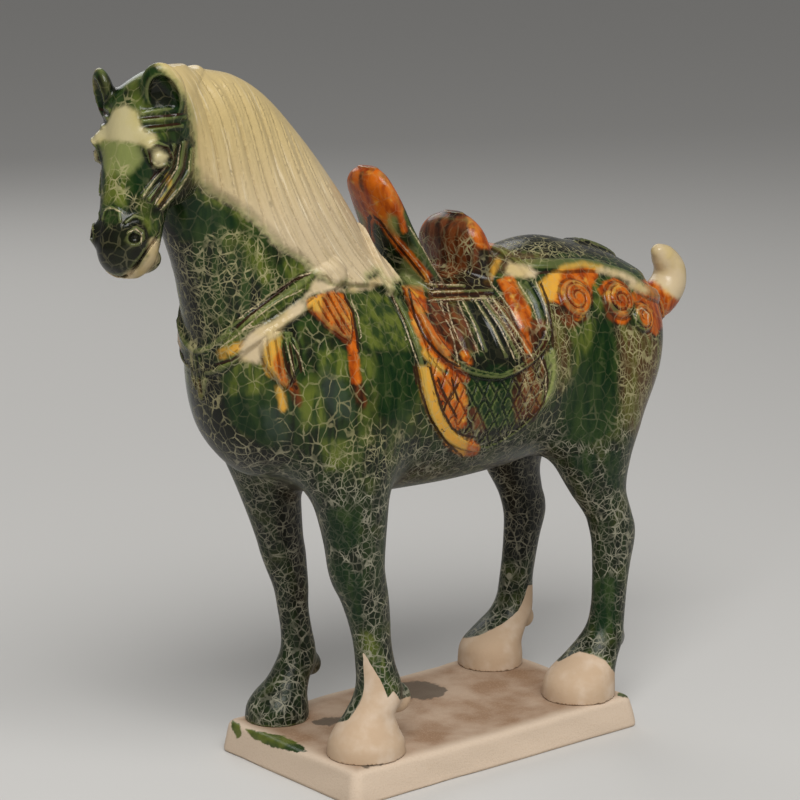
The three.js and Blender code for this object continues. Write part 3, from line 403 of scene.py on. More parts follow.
# Harness: strap paths over the near side, each point along, across, up
STRAP_RAISE = 2.2
STRAP_EDGE_RAISE = 0.4
STRAP_EDGE_WIDTH = 1
BREAST_STRAP_HALF = 7.4
BREAST_STRAP = [
    (-88, -31, 248.5),
    (-101, -32, 243.5),
    (-114, -34, 238),
    (-127, -33, 232),
    (-142, -24.5, 221.5),
    (-149, -14, 211),
    (-151, 0, 206),
]
CRUPPER_STRAP_HALF = 4
CRUPPER_STRAP = [
    (36, -20, 239),
    (62, -29, 235.5),
    (86, -30, 232.5),
    (103, -35, 226),
    (114, -38, 218),
    (130, -27, 210),
    (145, 0, 208),
]
PENDANTS = [
    (-98.5, -35, 238, 11.5, 28, 0.32),
    (-127.5, -36, 221.5, 10.5, 29, 0.1),
    (-149, 0, 208, 8.5, 25, 0),
]
PENDANT_RAISE = 2.8
PENDANT_TOP = 0.12
PENDANT_SHOULDER = 0.62
PENDANT_FULLNESS = 0.8
PENDANT_EDGE = 2.6
ROSETTES = [
    (62, -42, 220, 10),
    (92, -44, 216, 9.4),
    (107, -46, 205, 7.4),
    (133, -24, 202, 6.5),
]
ROSETTE_RAISE = 2.4
EDGE_SLOPE = 1.2

# Mane: place up the neck, then how far across the neck it hangs on the near side
MANE_EDGE = smooth_table([
    (10, -80),
    (15, -62),
    (22, -47),
    (35, -34),
    (45, -20),
    (55, -8),
    (63, -4),
    (74, 0),
    (82, 6),
    (91, 9.5),
    (100, 12.5),
    (111, 17.5),
    (120, 23),
    (128, 28),
    (140, 31),
    (150, 30),
    (162, 27),
    (185, 22),
])
MANE_RAISE = 3
MANE_SPAN = {"foot": 12, "top": 182, "slope": 5}
MANE_END = (-38, -46)
MANE_EDGE_WIDTH = 7
PARTING_WIDTH = 3
FAR_FRINGE = 15
LOCK = {"pitch": 9, "raise": 1.3, "sway": 7.5, "sway_length": 30, "sway_middle": 85, "crest_fade": 16}
STRAND = {"pitch": 4.5, "raise": 0.85, "waver": 1.2, "waver_length": 19, "crest_fade": 10}

NEAR_EAR = {"at": (36, 14.5, 341.5), "half": 10.3, "height": 15, "opens": 35, "leans": 22}
FAR_EAR = {"at": (37, -18, 339), "half": 8.5, "height": 13, "opens": -35, "leans": 15}
EAR_THICKNESS = 0.55
EAR_BOWL = {"forward": 0.5, "up": 1, "thickness": 0.55, "width": 0.7, "height": 0.78}
EAR_RIM = 1
EAR_FILLET = 3


def turned(u, v, degrees):
    cos, sin = math.cos(math.radians(degrees)), math.sin(math.radians(degrees))
    return cos * u + sin * v, cos * v - sin * u


def neck_place(x, z):
    ahead, up = turned(NECK_FOOT[0] - x, z - NECK_FOOT[1], -NECK_LEAN)
    return up, ahead


def head_place(x, y):
    return turned(HEAD_AT[0] - x, HEAD_AT[1] - y, HEAD_TURN)


# The photo's frame. The marks are placed by where they show in it, in pixels, and carried onto the skin
# along the line of sight, so that the glaze's marks lie where the glazer put them. Some marks are painted
# highlights and a painted reflection.
CAMERA_PLACE = (-0.8983, -1.0513, 0.4833)
CAMERA_TARGET = (-0.0224, 0, 0.1874)
CAMERA_LENS = 122.4
SENSOR_WIDTH = 36
PICTURE_HALF = 400
FOCAL = CAMERA_LENS / SENSOR_WIDTH * 2 * PICTURE_HALF
PIXELS_PER_MM = 1.94
FAR_AWAY = 10.0
LINE_REACH = 4.0


def picture_place(x, y, z):
    """The pixel at which a place of the figure shows."""
    eye, target = (np.array(place) / MILLIMETRE for place in (CAMERA_PLACE, CAMERA_TARGET))
    forward = (target - eye) / np.linalg.norm(target - eye)
    right = np.cross(forward, (0, 0, 1))
    right = right / np.linalg.norm(right)
    above = np.cross(right, forward)
    off = np.stack([x, y, z + GROUND / MILLIMETRE]) - eye[:, None]
    depth = forward @ off
    return PICTURE_HALF + FOCAL * (right @ off) / depth, PICTURE_HALF - FOCAL * (above @ off) / depth


def path_gap(path, px, py):
    """Distance in pixels from a bent line, and the side of it on which each place is."""
    gap = np.full(px.shape, VERY_FAR)
    side = np.ones(px.shape)
    for (ax, ay), (bx, by) in zip(path[:-1], path[1:]):
        sx, sy = bx - ax, by - ay
        ox, oy = px - ax, py - ay
        share = np.clip((ox * sx + oy * sy) / (sx * sx + sy * sy), 0, 1)
        here = np.hypot(ox - share * sx, oy - share * sy)
        turn = np.where(ox * sy - oy * sx < 0, -1.0, 1.0)
        side = np.where(here < gap, turn, side)
        gap = np.minimum(gap, here)
    return gap, side


def outline_depth(outline, px, py):
    """Distance in pixels inside a closed outline, and below nought outside it."""
    gap = path_gap([*outline, outline[0]], px, py)[0]
    inside = np.zeros(px.shape, bool)
    for (ax, ay), (bx, by) in zip(outline, [*outline[1:], outline[0]]):
        if ay != by:
            crosses = (ay > py) != (by > py)
            inside ^= crosses & (px < (bx - ax) * (py - ay) / (by - ay) + ax)
    return np.where(inside, gap, -gap)


def mark_depth(mark, px, py):
    """Depth inside a mark, which is a closed outline, or half a width with an open path."""
    if isinstance(mark, list):
        return outline_depth(mark, px, py) / PIXELS_PER_MM
    half, path = mark
    return (half - path_gap(path, px, py)[0]) / PIXELS_PER_MM


def layer_depth(marks, px, py):
    """How far inside the nearest of a layer's marks each place is, in millimetres."""
    depth = np.full(px.shape, -FAR_AWAY)
    for mark in marks.values():
        depth = np.maximum(depth, mark_depth(mark, px, py))
    return np.minimum(depth, FAR_AWAY)


def line_places(groups, px, py):
    """Distance across the nearest group of thin lines, with a sign that turns at each line, and without."""
    across = np.full(px.shape, LINE_REACH)
    near = np.full(px.shape, LINE_REACH)
    for group in groups.values():
        gap = np.full(px.shape, VERY_FAR)
        sign = np.ones(px.shape)
        for path in group:
            off, side = path_gap(path, px, py)
            gap = np.minimum(gap, off)
            sign = sign * side
        gap = gap / PIXELS_PER_MM
        across = np.where(gap < near, sign * gap, across)
        near = np.minimum(near, gap)
    return across, near


# Fine carving, also placed in the photo: half width in pixels, height in millimetres, and path
HEAD_RELIEF = [
    (4, 0.9, [(142, 113), (160, 110), (183, 108)]),
    (4, 0.9, [(143, 121), (162, 119), (185, 117)]),
    (4, 0.8, [(146, 130), (162, 128), (182, 126)]),
    (4, 1.3, [(174, 146), (172, 166), (162, 184), (150, 199)]),
    (4, 1.4, [(184, 143), (181, 166), (171, 186), (158, 205)]),
    (4, 1.1, [(192, 150), (190, 170), (179, 190), (164, 208)]),
    (3.6, 1.2, [(168, 166), (155, 180), (143, 196)]),
    (3, 0.9, [(146, 150), (150, 162), (158, 168), (167, 164)]),
    (3.4, 1.2, [(148, 148), (158, 143), (168, 147), (172, 157)]),
    (2.6, 0.8, [(130, 241), (129, 232), (136, 227), (143, 231), (144, 239), (137, 244), (130, 241)]),
    (3, 0.6, [(126, 222), (134, 216), (142, 218)]),
    (2.6, 0.7, [(106, 222), (104, 212), (111, 207), (119, 211), (120, 221)]),
]
SADDLE_RELIEF = [
    (9, 1.3, [(454, 306), (463, 330), (471, 352)]),
    (9, 1.5, [(503, 280), (514, 300), (526, 328)]),
    (8, 1.1, [(418, 312), (431, 336), (447, 352)]),
    (4.5, 1.1, [(476, 301), (493, 328), (506, 356)]),
    (4.5, 1.1, [(484, 300), (503, 326), (518, 357)]),
    (4.5, 1.1, [(493, 298), (512, 325), (532, 356)]),
    (4, 0.8, [(464, 303), (478, 328), (486, 350)]),
    (6, 0.9, [(527, 283), (538, 302), (545, 326)]),
    (3.4, 0.9, [(430, 285), (464, 286)]),
    (3.4, 0.9, [(434, 292), (470, 291), (492, 290)]),
    (3, 0.7, [(434, 299), (470, 298), (494, 297)]),
    (3.4, 0.8, [(362, 206), (382, 222), (398, 244), (414, 263), (430, 282)]),
    (3.4, 0.8, [(371, 206), (390, 224), (406, 244), (421, 262), (436, 276)]),
    (5, 0.9, [(552, 352), (555, 372), (550, 394), (536, 415)]),
]
STRAP_RELIEF = [
    (4, -1.5, [(232, 330), (250, 315), (264, 304), (280, 291), (300, 277)]),
    (3, -0.8, [(216, 365), (232, 360), (242, 353)]),
    (3, -0.5, [(240, 346), (262, 323), (285, 309), (306, 292)]),
]


def strokes_raise(strokes, px, py):
    raised = np.zeros(px.shape)
    for half, height, path in strokes:
        raised = raised + height * ease(1, 0, path_gap(path, px, py)[0] / half)
    return raised


def body_strokes(strokes):
    """Relief strokes on the body, the same on both its sides."""
    return lambda x, y, z: strokes_raise(strokes, *picture_place(x, -np.abs(y), z))


def head_middle_place(x, y):
    """Places on the head's far side, moved to where they would be on its near side."""
    ahead, left = head_place(x, y)
    back = turned(ahead, np.abs(left), -HEAD_TURN)
    return HEAD_AT[0] - back[0], HEAD_AT[1] - back[1]


def head_strokes(x, y, z):
    near_x, near_y = head_middle_place(x, y)
    return strokes_raise(HEAD_RELIEF, *picture_place(near_x, near_y, z))


def trunk(x, y, z):
    fore = join(sectioned_mass(BARREL, x, z, y), egg_distance(x, y, z, CHEST), CHEST["fillet"])
    return join(fore, egg_distance(x, y, z, RUMP), RUMP["fillet"])


def legs(x, y, z):
    near = y < 0
    fore = np.where(near, sectioned_mass(NEAR_FORELEG, z, x, y), sectioned_mass(FAR_FORELEG, z, x, y))
    hind = np.where(near, sectioned_mass(NEAR_HINDLEG, z, x, y), sectioned_mass(FAR_HINDLEG, z, x, y))
    return np.minimum(fore, hind)


def ear(ahead, left, z, form):
    """An ear is a leaf leaning forward on the head, hollowed on the side that it opens to."""
    at, half, height = form["at"], form["half"], form["height"]
    up, lean = turned(z - at[2], ahead - at[0], form["leans"])
    front, side = turned(lean, left - at[1], form["opens"])
    leaf = {"at": (0, 0, 0), "halves": (half * EAR_THICKNESS, half, height)}
    bowl = {
        "at": (half * EAR_BOWL["forward"], 0, -EAR_BOWL["up"]),
        "halves": (half * EAR_BOWL["thickness"], half * EAR_BOWL["width"], height * EAR_BOWL["height"]),
    }
    return carve(egg_distance(front, side, up, leaf), egg_distance(front, side, up, bowl), EAR_RIM)


def mouth_line(ahead, side):
    return MOUTH["height"] + MOUTH["bow"] * side**2 + MOUTH["rise"] * np.maximum(MOUTH["front"] - ahead, 0)


def mouth_slit(ahead, side, z, head_skin):
    slit = np.abs(z - mouth_line(ahead, side)) - MOUTH["opening"]
    return np.maximum(np.maximum(slit, MOUTH["back"] - ahead), -head_skin - MOUTH["depth"])


def head(x, y, z):
    ahead, left = head_place(x, y)
    side = np.abs(left)
    d = sectioned_mass(HEAD, z, ahead, left)
    for lump in HEAD_LUMPS:
        d = join(d, egg_distance(ahead, side, z, lump), lump["fillet"])
    d = d - head_strokes(x, y, z)
    d = carve(d, egg_distance(ahead, side, z, NOSTRIL), NOSTRIL["fillet"])
    d = carve(d, mouth_slit(ahead, side, z, d), MOUTH["fillet"])
    for one_ear in (NEAR_EAR, FAR_EAR):
        d = join(d, ear(ahead, left, z, one_ear), EAR_FILLET)
    return d


def neck(x, y, z):
    up, ahead = neck_place(x, z)
    return sectioned_mass(NECK, up, ahead, -y, NECK_EGG)


def mane_places(x, y, z):
    """Place up the neck, place ahead, distance in from the crest, and from the mane's edge."""
    up, ahead = neck_place(x, z)
    crest = read_table(NECK, up, 0) - read_table(NECK, up, 2)
    near_edge = read_table(MANE_EDGE, up, 0)
    edge = mix(crest + FAR_FRINGE, near_edge, ease(PARTING_WIDTH, -PARTING_WIDTH, y))
    return up, ahead, ahead - crest, edge - ahead


def mane_flow(up, ahead):
    """A coordinate that is the same all along one strand."""
    return ahead - LOCK["sway"] * np.cos((up - LOCK["sway_middle"]) / LOCK["sway_length"])


def mane_raise(x, y, z):
    up, ahead, from_crest, inset = mane_places(x, y, z)
    span = bank(MANE_SPAN["foot"], MANE_SPAN["top"], MANE_SPAN["slope"], up)
    cover = ease(0, MANE_EDGE_WIDTH, inset) * span * ease(*MANE_END, x)
    flow = mane_flow(up, ahead)
    lock = (np.abs(np.sin(np.pi * flow / LOCK["pitch"])) - 0.5) * ease(0, LOCK["crest_fade"], from_crest)
    wavered = flow + STRAND["waver"] * np.sin(up / STRAND["waver_length"] + flow)
    strand = np.abs(np.sin(np.pi * wavered / STRAND["pitch"])) - 0.5
    strand = strand * ease(0, STRAND["crest_fade"], from_crest)
    return cover * (MANE_RAISE + LOCK["raise"] * lock + STRAND["raise"] * strand)


def flap_inset(flap, x, girth):
    """How far inside a flap's outline a place is."""
    def half_at(at):
        share = np.clip((at - flap["straight_to"]) / (flap["foot"] - flap["straight_to"]), 0, 1)
        return flap["half"] * (1 - share ** flap["roundness"]) ** FLAP_POINT
    slope = (half_at(girth + SLOPE_STEP) - half_at(girth - SLOPE_STEP)) / (2 * SLOPE_STEP)
    return (half_at(girth) - np.abs(x - flap["middle"])) / np.hypot(1, slope)


def flap_raise(flap, inset):
    rim = bank(FLAP_EDGE, flap["rim"] - RIM_SLOPE, RIM_SLOPE, inset)
    return flap["raise"] * ease(0, FLAP_EDGE, inset) + RIM_RAISE * rim


# Quilting of the mud flap: two families of stitched lines, which start inside its rim and keep clear of
# the saddle flap
QUILT = {"pitch": 8, "depth": 0.7, "half": 0.6, "slant": 0.62, "start": 1, "clear": 1.5}


def girth_of(y, z):
    return np.arctan2(np.abs(y), z - GIRTH_CENTRE) * GIRTH_RADIUS


def line_gap(value, pitch):
    """Distance to the nearest of evenly spaced lines."""
    return np.abs((value / pitch + 0.5) % 1 - 0.5) * pitch


def quilt_cut(x, girth, mud_inset, saddle_inset):
    first = line_gap(x + QUILT["slant"] * girth, QUILT["pitch"])
    second = line_gap(x - QUILT["slant"] * girth, QUILT["pitch"])
    stitched = ease(2 * QUILT["half"], 0, np.minimum(first, second))
    in_rim = ease(MUD_FLAP["rim"], MUD_FLAP["rim"] + QUILT["start"], mud_inset)
    return QUILT["depth"] * stitched * in_rim * ease(0, -QUILT["clear"], saddle_inset)


def saddle_raise(x, y, z):
    girth = girth_of(y, z)
    mud_inset = flap_inset(MUD_FLAP, x, girth)
    saddle_inset = flap_inset(SADDLE_FLAP, x, girth)
    raised = flap_raise(MUD_FLAP, mud_inset) + flap_raise(SADDLE_FLAP, saddle_inset)
    return np.where(mud_inset < 0, 0, raised - quilt_cut(x, girth, mud_inset, saddle_inset))


def saddle_boards(x, y, z):
    return np.minimum(sectioned_mass(POMMEL, z, x, y), sectioned_mass(CANTLE, z, x, y))


def saddle_body(x, y, z):
    return join(egg_distance(x, y, z, SEAT), saddle_boards(x, y, z), SEAT_FILLET)


# Where each mass can matter, so that the rest is skipped
TRUNK_REGION = 100
LEG_REGION = 240
NECK_REGION = -5
HEAD_REGION = -125
TAIL_REGION = 110
SADDLE_REGION = {"half": 56, "above": 199.5}
RELIEF_REACH = 8


def change_where(mask, d, change, *places):
    """Changes d where the mask holds, by a function of d and the places there."""
    chosen = np.nonzero(mask)[0]
    if len(chosen):
        d[chosen] = change(d[chosen], *(place[chosen] for place in places))


def join_where(mask, d, form, fillet, *places):
    change_where(mask, d, lambda old, *there: join(old, form(*there), fillet), *places)


def raise_where(mask, d, relief, *places):
    change_where(mask, d, lambda old, *there: old - relief(*there), *places)


def bare_skin(x, y, z):
    d = np.full(x.shape, VERY_FAR)
    high = z >= TRUNK_REGION
    change_where(~high, d, lambda _, *there: legs(*there), x, y, z)
    change_where(high, d, lambda _, *there: trunk(*there), x, y, z)
    join_where(high & (z < LEG_REGION), d, legs, LEG_FILLET, x, y, z)
    join_where(high & (x < NECK_REGION), d, neck, NECK_FILLET, x, y, z)
    return d


def slopes_of(field, points, step):
    """How much a field changes over two steps along each axis, near places given as rows."""
    slopes = [field(*(points + offset).T) - field(*(points - offset).T) for offset in np.eye(3) * step]
    return np.stack(slopes, axis=1)


def skin_facing(points):
    """Unit directions in which the bare skin faces near places given as rows."""
    slopes = slopes_of(bare_skin, points, SLOPE_STEP)
    return slopes / np.linalg.norm(slopes, axis=1, keepdims=True)


def onto_skin(points):
    moved = np.array(points, float)
    for _ in range(SKIN_ROUNDS):
        moved = moved - bare_skin(*moved.T)[:, None] * skin_facing(moved)
    return moved


def lay_strap(path):
    """A strap's middle line, laid on the skin through the points of its path."""
    stops = [(*point, 0) for point in onto_skin(path)]
    rod = smooth_rod(stops, STRAP_STEPS)
    rod[:, :3] = onto_skin(rod[:, :3])
    return rod


def patch_at(along, across, up):
    """A place on the skin with its own axes: down it, and sideways."""
    place = onto_skin([(along, across, up)])
    facing = skin_facing(place)[0]
    down = np.array([0, 0, -1.0])
    down = down - facing * (down @ facing)
    down = down / np.linalg.norm(down)
    return {"place": place[0], "down": down, "sideways": np.cross(facing, down)}


breast_strap = lay_strap(BREAST_STRAP)
crupper_strap = lay_strap(CRUPPER_STRAP)
pendants = [{**patch_at(*row[:3]), "half": row[3], "length": row[4], "slant": row[5]} for row in PENDANTS]
rosettes = [{**patch_at(*row[:3]), "radius": row[3]} for row in ROSETTES]


def strap_raise(off, half):
    edge = bank(half - 2 * STRAP_EDGE_WIDTH, half - STRAP_EDGE_WIDTH, STRAP_EDGE_WIDTH, off)
    return STRAP_RAISE * ease(half + EDGE_SLOPE, half - EDGE_SLOPE, off) + STRAP_EDGE_RAISE * edge


def place_on_patch(patch, x, y, z):
    offset = np.stack([x, y, z]) - patch["place"][:, None]
    return patch["down"] @ offset, patch["sideways"] @ offset


def pendant_inset(pendant, x, y, z):
    """How far inside a pendant's leaf shape a place is, and its place aside."""
    below, sideways = place_on_patch(pendant, x, y, z)
    aside = sideways - pendant["slant"] * below
    share = np.minimum(np.maximum(below / pendant["length"], 0) + PENDANT_TOP, 1)
    half = pendant["half"] * np.sin(np.pi * share ** PENDANT_SHOULDER) ** PENDANT_FULLNESS
    off_it = (below < -PENDANT_EDGE) | (below > pendant["length"])
    return np.where(off_it, -FAR_AWAY, half - np.abs(aside)), aside


# Carving on the pendants and rosettes
PETAL = {"pitch": 4.2, "depth": 0.9, "share": 0.3, "from_edge": (1, 3)}
SPIRAL = {"depth": 0.9, "pitch": 4.6, "heart": 1.6, "width": 1, "rim": 1}


def pendant_raise(pendant, x, y, z):
    inset, aside = pendant_inset(pendant, x, y, z)
    petal = line_gap(aside + PETAL["pitch"] / 2, PETAL["pitch"]) / PETAL["pitch"]
    cut = PETAL["depth"] * ease(PETAL["share"], 0, petal) * ease(*PETAL["from_edge"], inset)
    return np.maximum(PENDANT_RAISE * ease(0, PENDANT_EDGE, inset) - cut, 0)


def rosette_raise(rosette, x, y, z):
    """A low boss with a spiral groove."""
    below, aside = place_on_patch(rosette, x, y, z)
    off = np.hypot(below, aside)
    winding = off - SPIRAL["pitch"] * np.arctan2(below, aside) / (2 * np.pi)
    groove = ease(SPIRAL["width"], 0, line_gap(winding, SPIRAL["pitch"]))
    groove = groove * ease(SPIRAL["heart"], SPIRAL["heart"] + SPIRAL["width"], off)
    boss = ROSETTE_RAISE * ease(rosette["radius"] + EDGE_SLOPE, rosette["radius"] - EDGE_SLOPE, off)
    return np.maximum(boss - SPIRAL["depth"] * groove * (boss > SPIRAL["rim"]), 0)


def harness_raise(x, y, z):
    near = -np.abs(y)
    raised = np.maximum(
        strap_raise(rod_distance(breast_strap, x, near, z), BREAST_STRAP_HALF),
        strap_raise(rod_distance(crupper_strap, x, near, z), CRUPPER_STRAP_HALF),
    )
    for pendant in pendants:
        raised = np.maximum(raised, pendant_raise(pendant, x, near, z))
    for rosette in rosettes:
        raised = np.maximum(raised, rosette_raise(rosette, x, near, z))
    return raised


def heel_tufts(x, y, z):
    return np.minimum.reduce([egg_distance(x, y, z, tuft) for tuft in HEEL_TUFTS])


def horse_field(x, y, z):
    """The whole horse as one skin: negative inside, about the distance to the skin near it."""
    d = bare_skin(x, y, z)
    high = z >= TRUNK_REGION
    join_where(~high, d, heel_tufts, TUFT_FILLET, x, y, z)
    relief = high & (np.abs(d) < RELIEF_REACH)
    at_chest = relief & (x < CHEST["at"][0] + CHEST["halves"][0])
    at_saddle = np.abs(x) < SADDLE_REGION["half"]
    by_saddle = relief & at_saddle
    on_saddle = at_saddle & (z > SADDLE_REGION["above"])
    raise_where(relief, d, harness_raise, x, y, z)
    raise_where(by_saddle, d, saddle_raise, x, y, z)
    raise_where(at_chest, d, body_strokes(STRAP_RELIEF), x, y, z)
    raise_where(relief & (x < NECK_REGION), d, mane_raise, x, y, z)
    join_where(on_saddle, d, saddle_body, SADDLE_FILLET, x, y, z)
    raise_where(by_saddle, d, body_strokes(SADDLE_RELIEF), x, y, z)
    join_where(high & (x < HEAD_REGION), d, head, HEAD_FILLET, x, y, z)
    join_where(high & (x > TAIL_REGION), d, lambda *there: rod_distance(TAIL, *there), TAIL_FILLET, x, y, z)
    return np.maximum(d, -z)


def in_chunks(function, x, y, z):
    parts = [
        function(x[i:i + CHUNK], y[i:i + CHUNK], z[i:i + CHUNK]) for i in range(0, len(x), CHUNK)
    ]
    return np.concatenate(parts)


# Meshing: the twelve edges of a cell, and which patch of skin each crossed edge belongs to
CORNERS = 8
PATTERNS = 2**CORNERS
CELL_EDGES = [
    (corner, corner | 1 << axis, axis) for corner in range(CORNERS) for axis in range(3)
    if corner | 1 << axis != corner
]
CORNER_OFFSETS = [tuple(corner >> axis & 1 for axis in range(3)) for corner in range(CORNERS)]


def patch_labels(pattern):
    """Crossed edges of one face are linked in pairs round the corners that are inside."""
    def is_inside(corner):
        return pattern >> corner & 1
    label = [edge if is_inside(a) != is_inside(b) else -1 for edge, (a, b, _) in enumerate(CELL_EDGES)]
    for axis in range(3):
        for side in (0, 1):
            on_face = [
                edge for edge, (a, b, _) in enumerate(CELL_EDGES)
                if label[edge] >= 0 and a >> axis & 1 == side and b >> axis & 1 == side
            ]
            inside_end = {
                edge: next(end for end in CELL_EDGES[edge][:2] if is_inside(end)) for edge in on_face
            }
            for a in on_face:
                for b in on_face:
                    if a < b and (len(on_face) == 2 or inside_end[a] == inside_end[b]):
                        keep, drop = sorted((label[a], label[b]))
                        label = [keep if name == drop else name for name in label]
    names = sorted(set(name for name in label if name >= 0))
    return [names.index(name) if name >= 0 else -1 for name in label], len(names)


def sample_field(field, lowest, highest, cell):
    """Field values on a regular grid, worked out only in blocks that the skin may cross."""
    span = cell * BLOCK
    blocks = [math.ceil((high - low) / span) for low, high in zip(lowest, highest)]
    corners = [low + span * np.arange(count) for low, count in zip(lowest, blocks)]
    middle = cell * (BLOCK - 1) / 2
    centres = np.meshgrid(*(corner + middle for corner in corners), indexing="ij")
    at_centre = in_chunks(field, *(centre.ravel() for centre in centres))
    near = np.nonzero(np.abs(at_centre) < max(BLOCK_REACH, span))[0]
    step = cell * np.arange(BLOCK) - middle
    steps = np.meshgrid(step, step, step, indexing="ij")
    places = [centre.ravel()[near][:, None] + offset.ravel() for centre, offset in zip(centres, steps)]
    inner = in_chunks(field, *(place.ravel() for place in places))
    values = np.repeat(at_centre[:, None], BLOCK**3, axis=1)
    values[near] = inner.reshape(len(near), -1)
    values = values.reshape(*blocks, BLOCK, BLOCK, BLOCK).transpose(0, 3, 1, 4, 2, 5)
    return values.reshape([count * BLOCK for count in blocks])


def cell_patterns(inside):
    """Which corners of each cell are inside, as one number."""
    cells = [count - 1 for count in inside.shape]
    pattern = np.zeros(cells, np.int32)
    for corner, (a, b, c) in enumerate(CORNER_OFFSETS):
        pattern |= inside[a:a + cells[0], b:b + cells[1], c:c + cells[2]].astype(np.int32) << corner
    return pattern


def patch_points(values, active, found, first, labels, total):
    """The middle of the crossed edges of each patch, counted in cells."""
    at_corner = [values[active[0] + a, active[1] + b, active[2] + c] for a, b, c in CORNER_OFFSETS]
    sums = np.zeros((3, total))
    count = np.zeros(total)
    for edge, (start, end, axis) in enumerate(CELL_EDGES):
        crossed = labels[found, edge] >= 0
        target = first[crossed] + labels[found[crossed], edge]
        from_value, to_value = at_corner[start][crossed], at_corner[end][crossed]
        share = from_value / (from_value - to_value)
        for d in range(3):
            place = active[d][crossed] + CORNER_OFFSETS[start][d] + (share if d == axis else 0)
            sums[d] += np.bincount(target, weights=place, minlength=total)
        count += np.bincount(target, minlength=total)
    return (sums / count).T


def quads_round(axis, inside, pattern, first_of, labels):
    """A quad round each crossed edge that runs along one axis."""
    following, last = (axis + 1) % 3, (axis + 2) % 3
    here = [slice(0, -1) if d == axis else slice(1, -1) for d in range(3)]
    there = [slice(1, None) if d == axis else slice(1, -1) for d in range(3)]
    starts = inside[tuple(here)]
    crossing = np.nonzero(starts != inside[tuple(there)])
    place = np.stack(crossing) + np.array([0 if d == axis else 1 for d in range(3)])[:, None]
    corners = []
    for b, c in ((1, 1), (0, 1), (0, 0), (1, 0)):
        cell = place.copy()
        cell[following] -= b
        cell[last] -= c
        cell = tuple(cell)
        start = b << following | c << last
        edge = CELL_EDGES.index((start, start | 1 << axis, axis))
        corners.append(first_of[cell] + labels[pattern[cell], edge])
    quad = np.stack(corners, axis=1)
    return np.where(starts[crossing][:, None], quad, quad[:, ::-1])


def skin_mesh(values, lowest, cell_size):
    """One point for each patch of skin in a cell, and a quad round each crossed edge."""
    labels, counts = zip(*(patch_labels(pattern) for pattern in range(PATTERNS)))
    labels, counts = np.array(labels), np.array(counts)
    inside = values < 0
    pattern = cell_patterns(inside)
    active = np.nonzero((pattern > 0) & (pattern < PATTERNS - 1))
    found = pattern[active]
    first = np.cumsum(counts[found]) - counts[found]
    first_of = np.zeros(pattern.shape, np.int64)
    first_of[active] = first
    points = patch_points(values, active, found, first, labels, int(counts[found].sum()))
    quads = [quads_round(axis, inside, pattern, first_of, labels) for axis in range(3)]
    return points * cell_size + np.array(lowest), np.concatenate(quads)


def placed_object(name, data):
    made = bpy.data.objects.new(name, data)
    bpy.context.scene.collection.objects.link(made)
    return made


def mesh_object(name, points, quads):
    mesh = bpy.data.meshes.new(name)
    mesh.vertices.add(len(points))
    mesh.vertices.foreach_set("co", points.astype(np.float32).ravel())
    mesh.loops.add(quads.size)
    mesh.loops.foreach_set("vertex_index", quads.astype(np.int32).ravel())
    mesh.polygons.add(len(quads))
    mesh.polygons.foreach_set("loop_start", np.arange(0, quads.size, quads.shape[1], dtype=np.int32))
    mesh.update(calc_edges=True)
    return placed_object(name, mesh)


def thinned(made, triangles):
    """The same piece with its skin thinned to so many triangles."""
    modifier = made.modifiers.new("thin", "DECIMATE")
    modifier.ratio = min(1, triangles / (2 * len(made.data.polygons)))
    modifier.use_collapse_triangulate = True
    evaluated = made.evaluated_get(bpy.context.evaluated_depsgraph_get())
    mesh = bpy.data.meshes.new_from_object(evaluated)
    made.modifiers.clear()
    old = made.data
    made.data = mesh
    bpy.data.meshes.remove(old)
    return made


def vertex_rows(mesh):
    rows = np.zeros(len(mesh.vertices) * 3, np.float32)
    mesh.vertices.foreach_get("co", rows)
    return rows.reshape(-1, 3).astype(float)


def field_normals(field, points):
    slopes = slopes_of(lambda *places: in_chunks(field, *places), points, NORMAL_STEP)
    return slopes / np.maximum(np.linalg.norm(slopes, axis=1, keepdims=True), TINY)


def field_piece(name, field, lowest, highest, cell, triangles):
    """A piece whose skin is the field's zero level, with its points and the ways that they face."""
    points, quads = skin_mesh(sample_field(field, lowest, highest, cell), lowest, cell)
    made = thinned(mesh_object(name, points, quads), triangles)
    mesh = made.data
    points = vertex_rows(mesh)
    normals = field_normals(field, points)
    placed = np.clip(points * MILLIMETRE + np.array([0, 0, GROUND]), *cad_box)
    mesh.vertices.foreach_set("co", placed.astype(np.float32).ravel())
    mesh.shade_smooth()
    mesh.normals_split_custom_set_from_vertices(normals)
    mesh.update()
    return made, points, normals


def set_attribute(mesh, name, values):
    attribute = mesh.attributes.new(name, "FLOAT", "POINT")
    attribute.data.foreach_set("value", values.astype(np.float32))


# Where the glaze ends on each hoof: the angle round the leg, from the front to the horse's left,
# and the height of the glaze's edge there
GLAZE_EDGES = {
    "near_fore": [(-120, 17), (-60, 14), (0, 20), (12, 32), (20, 56), (32, 52), (55, 43), (75, 31), (95, 34),
                  (120, 28), (165, 26), (210, 20)],
    "far_fore": [(-90, -2), (0, -3), (90, -2), (180, 7)],
    "near_hind": [(-100, 16), (-30, 18), (4, 25), (39, 24.5), (77, 21.5), (110, 16), (136, 12), (180, 13)],
    "far_hind": [(-120, 24), (-40, 14), (6, 18), (38, 24), (68, 31), (100, 43), (150, 42), (190, 30)],
}
LEG_TABLES = {
    "near_fore": NEAR_FORELEG, "far_fore": FAR_FORELEG, "near_hind": NEAR_HINDLEG, "far_hind": FAR_HINDLEG,
}
BARE_BELOW = 70
FORELEGS_BEFORE = 10
FULL_TURN = 360


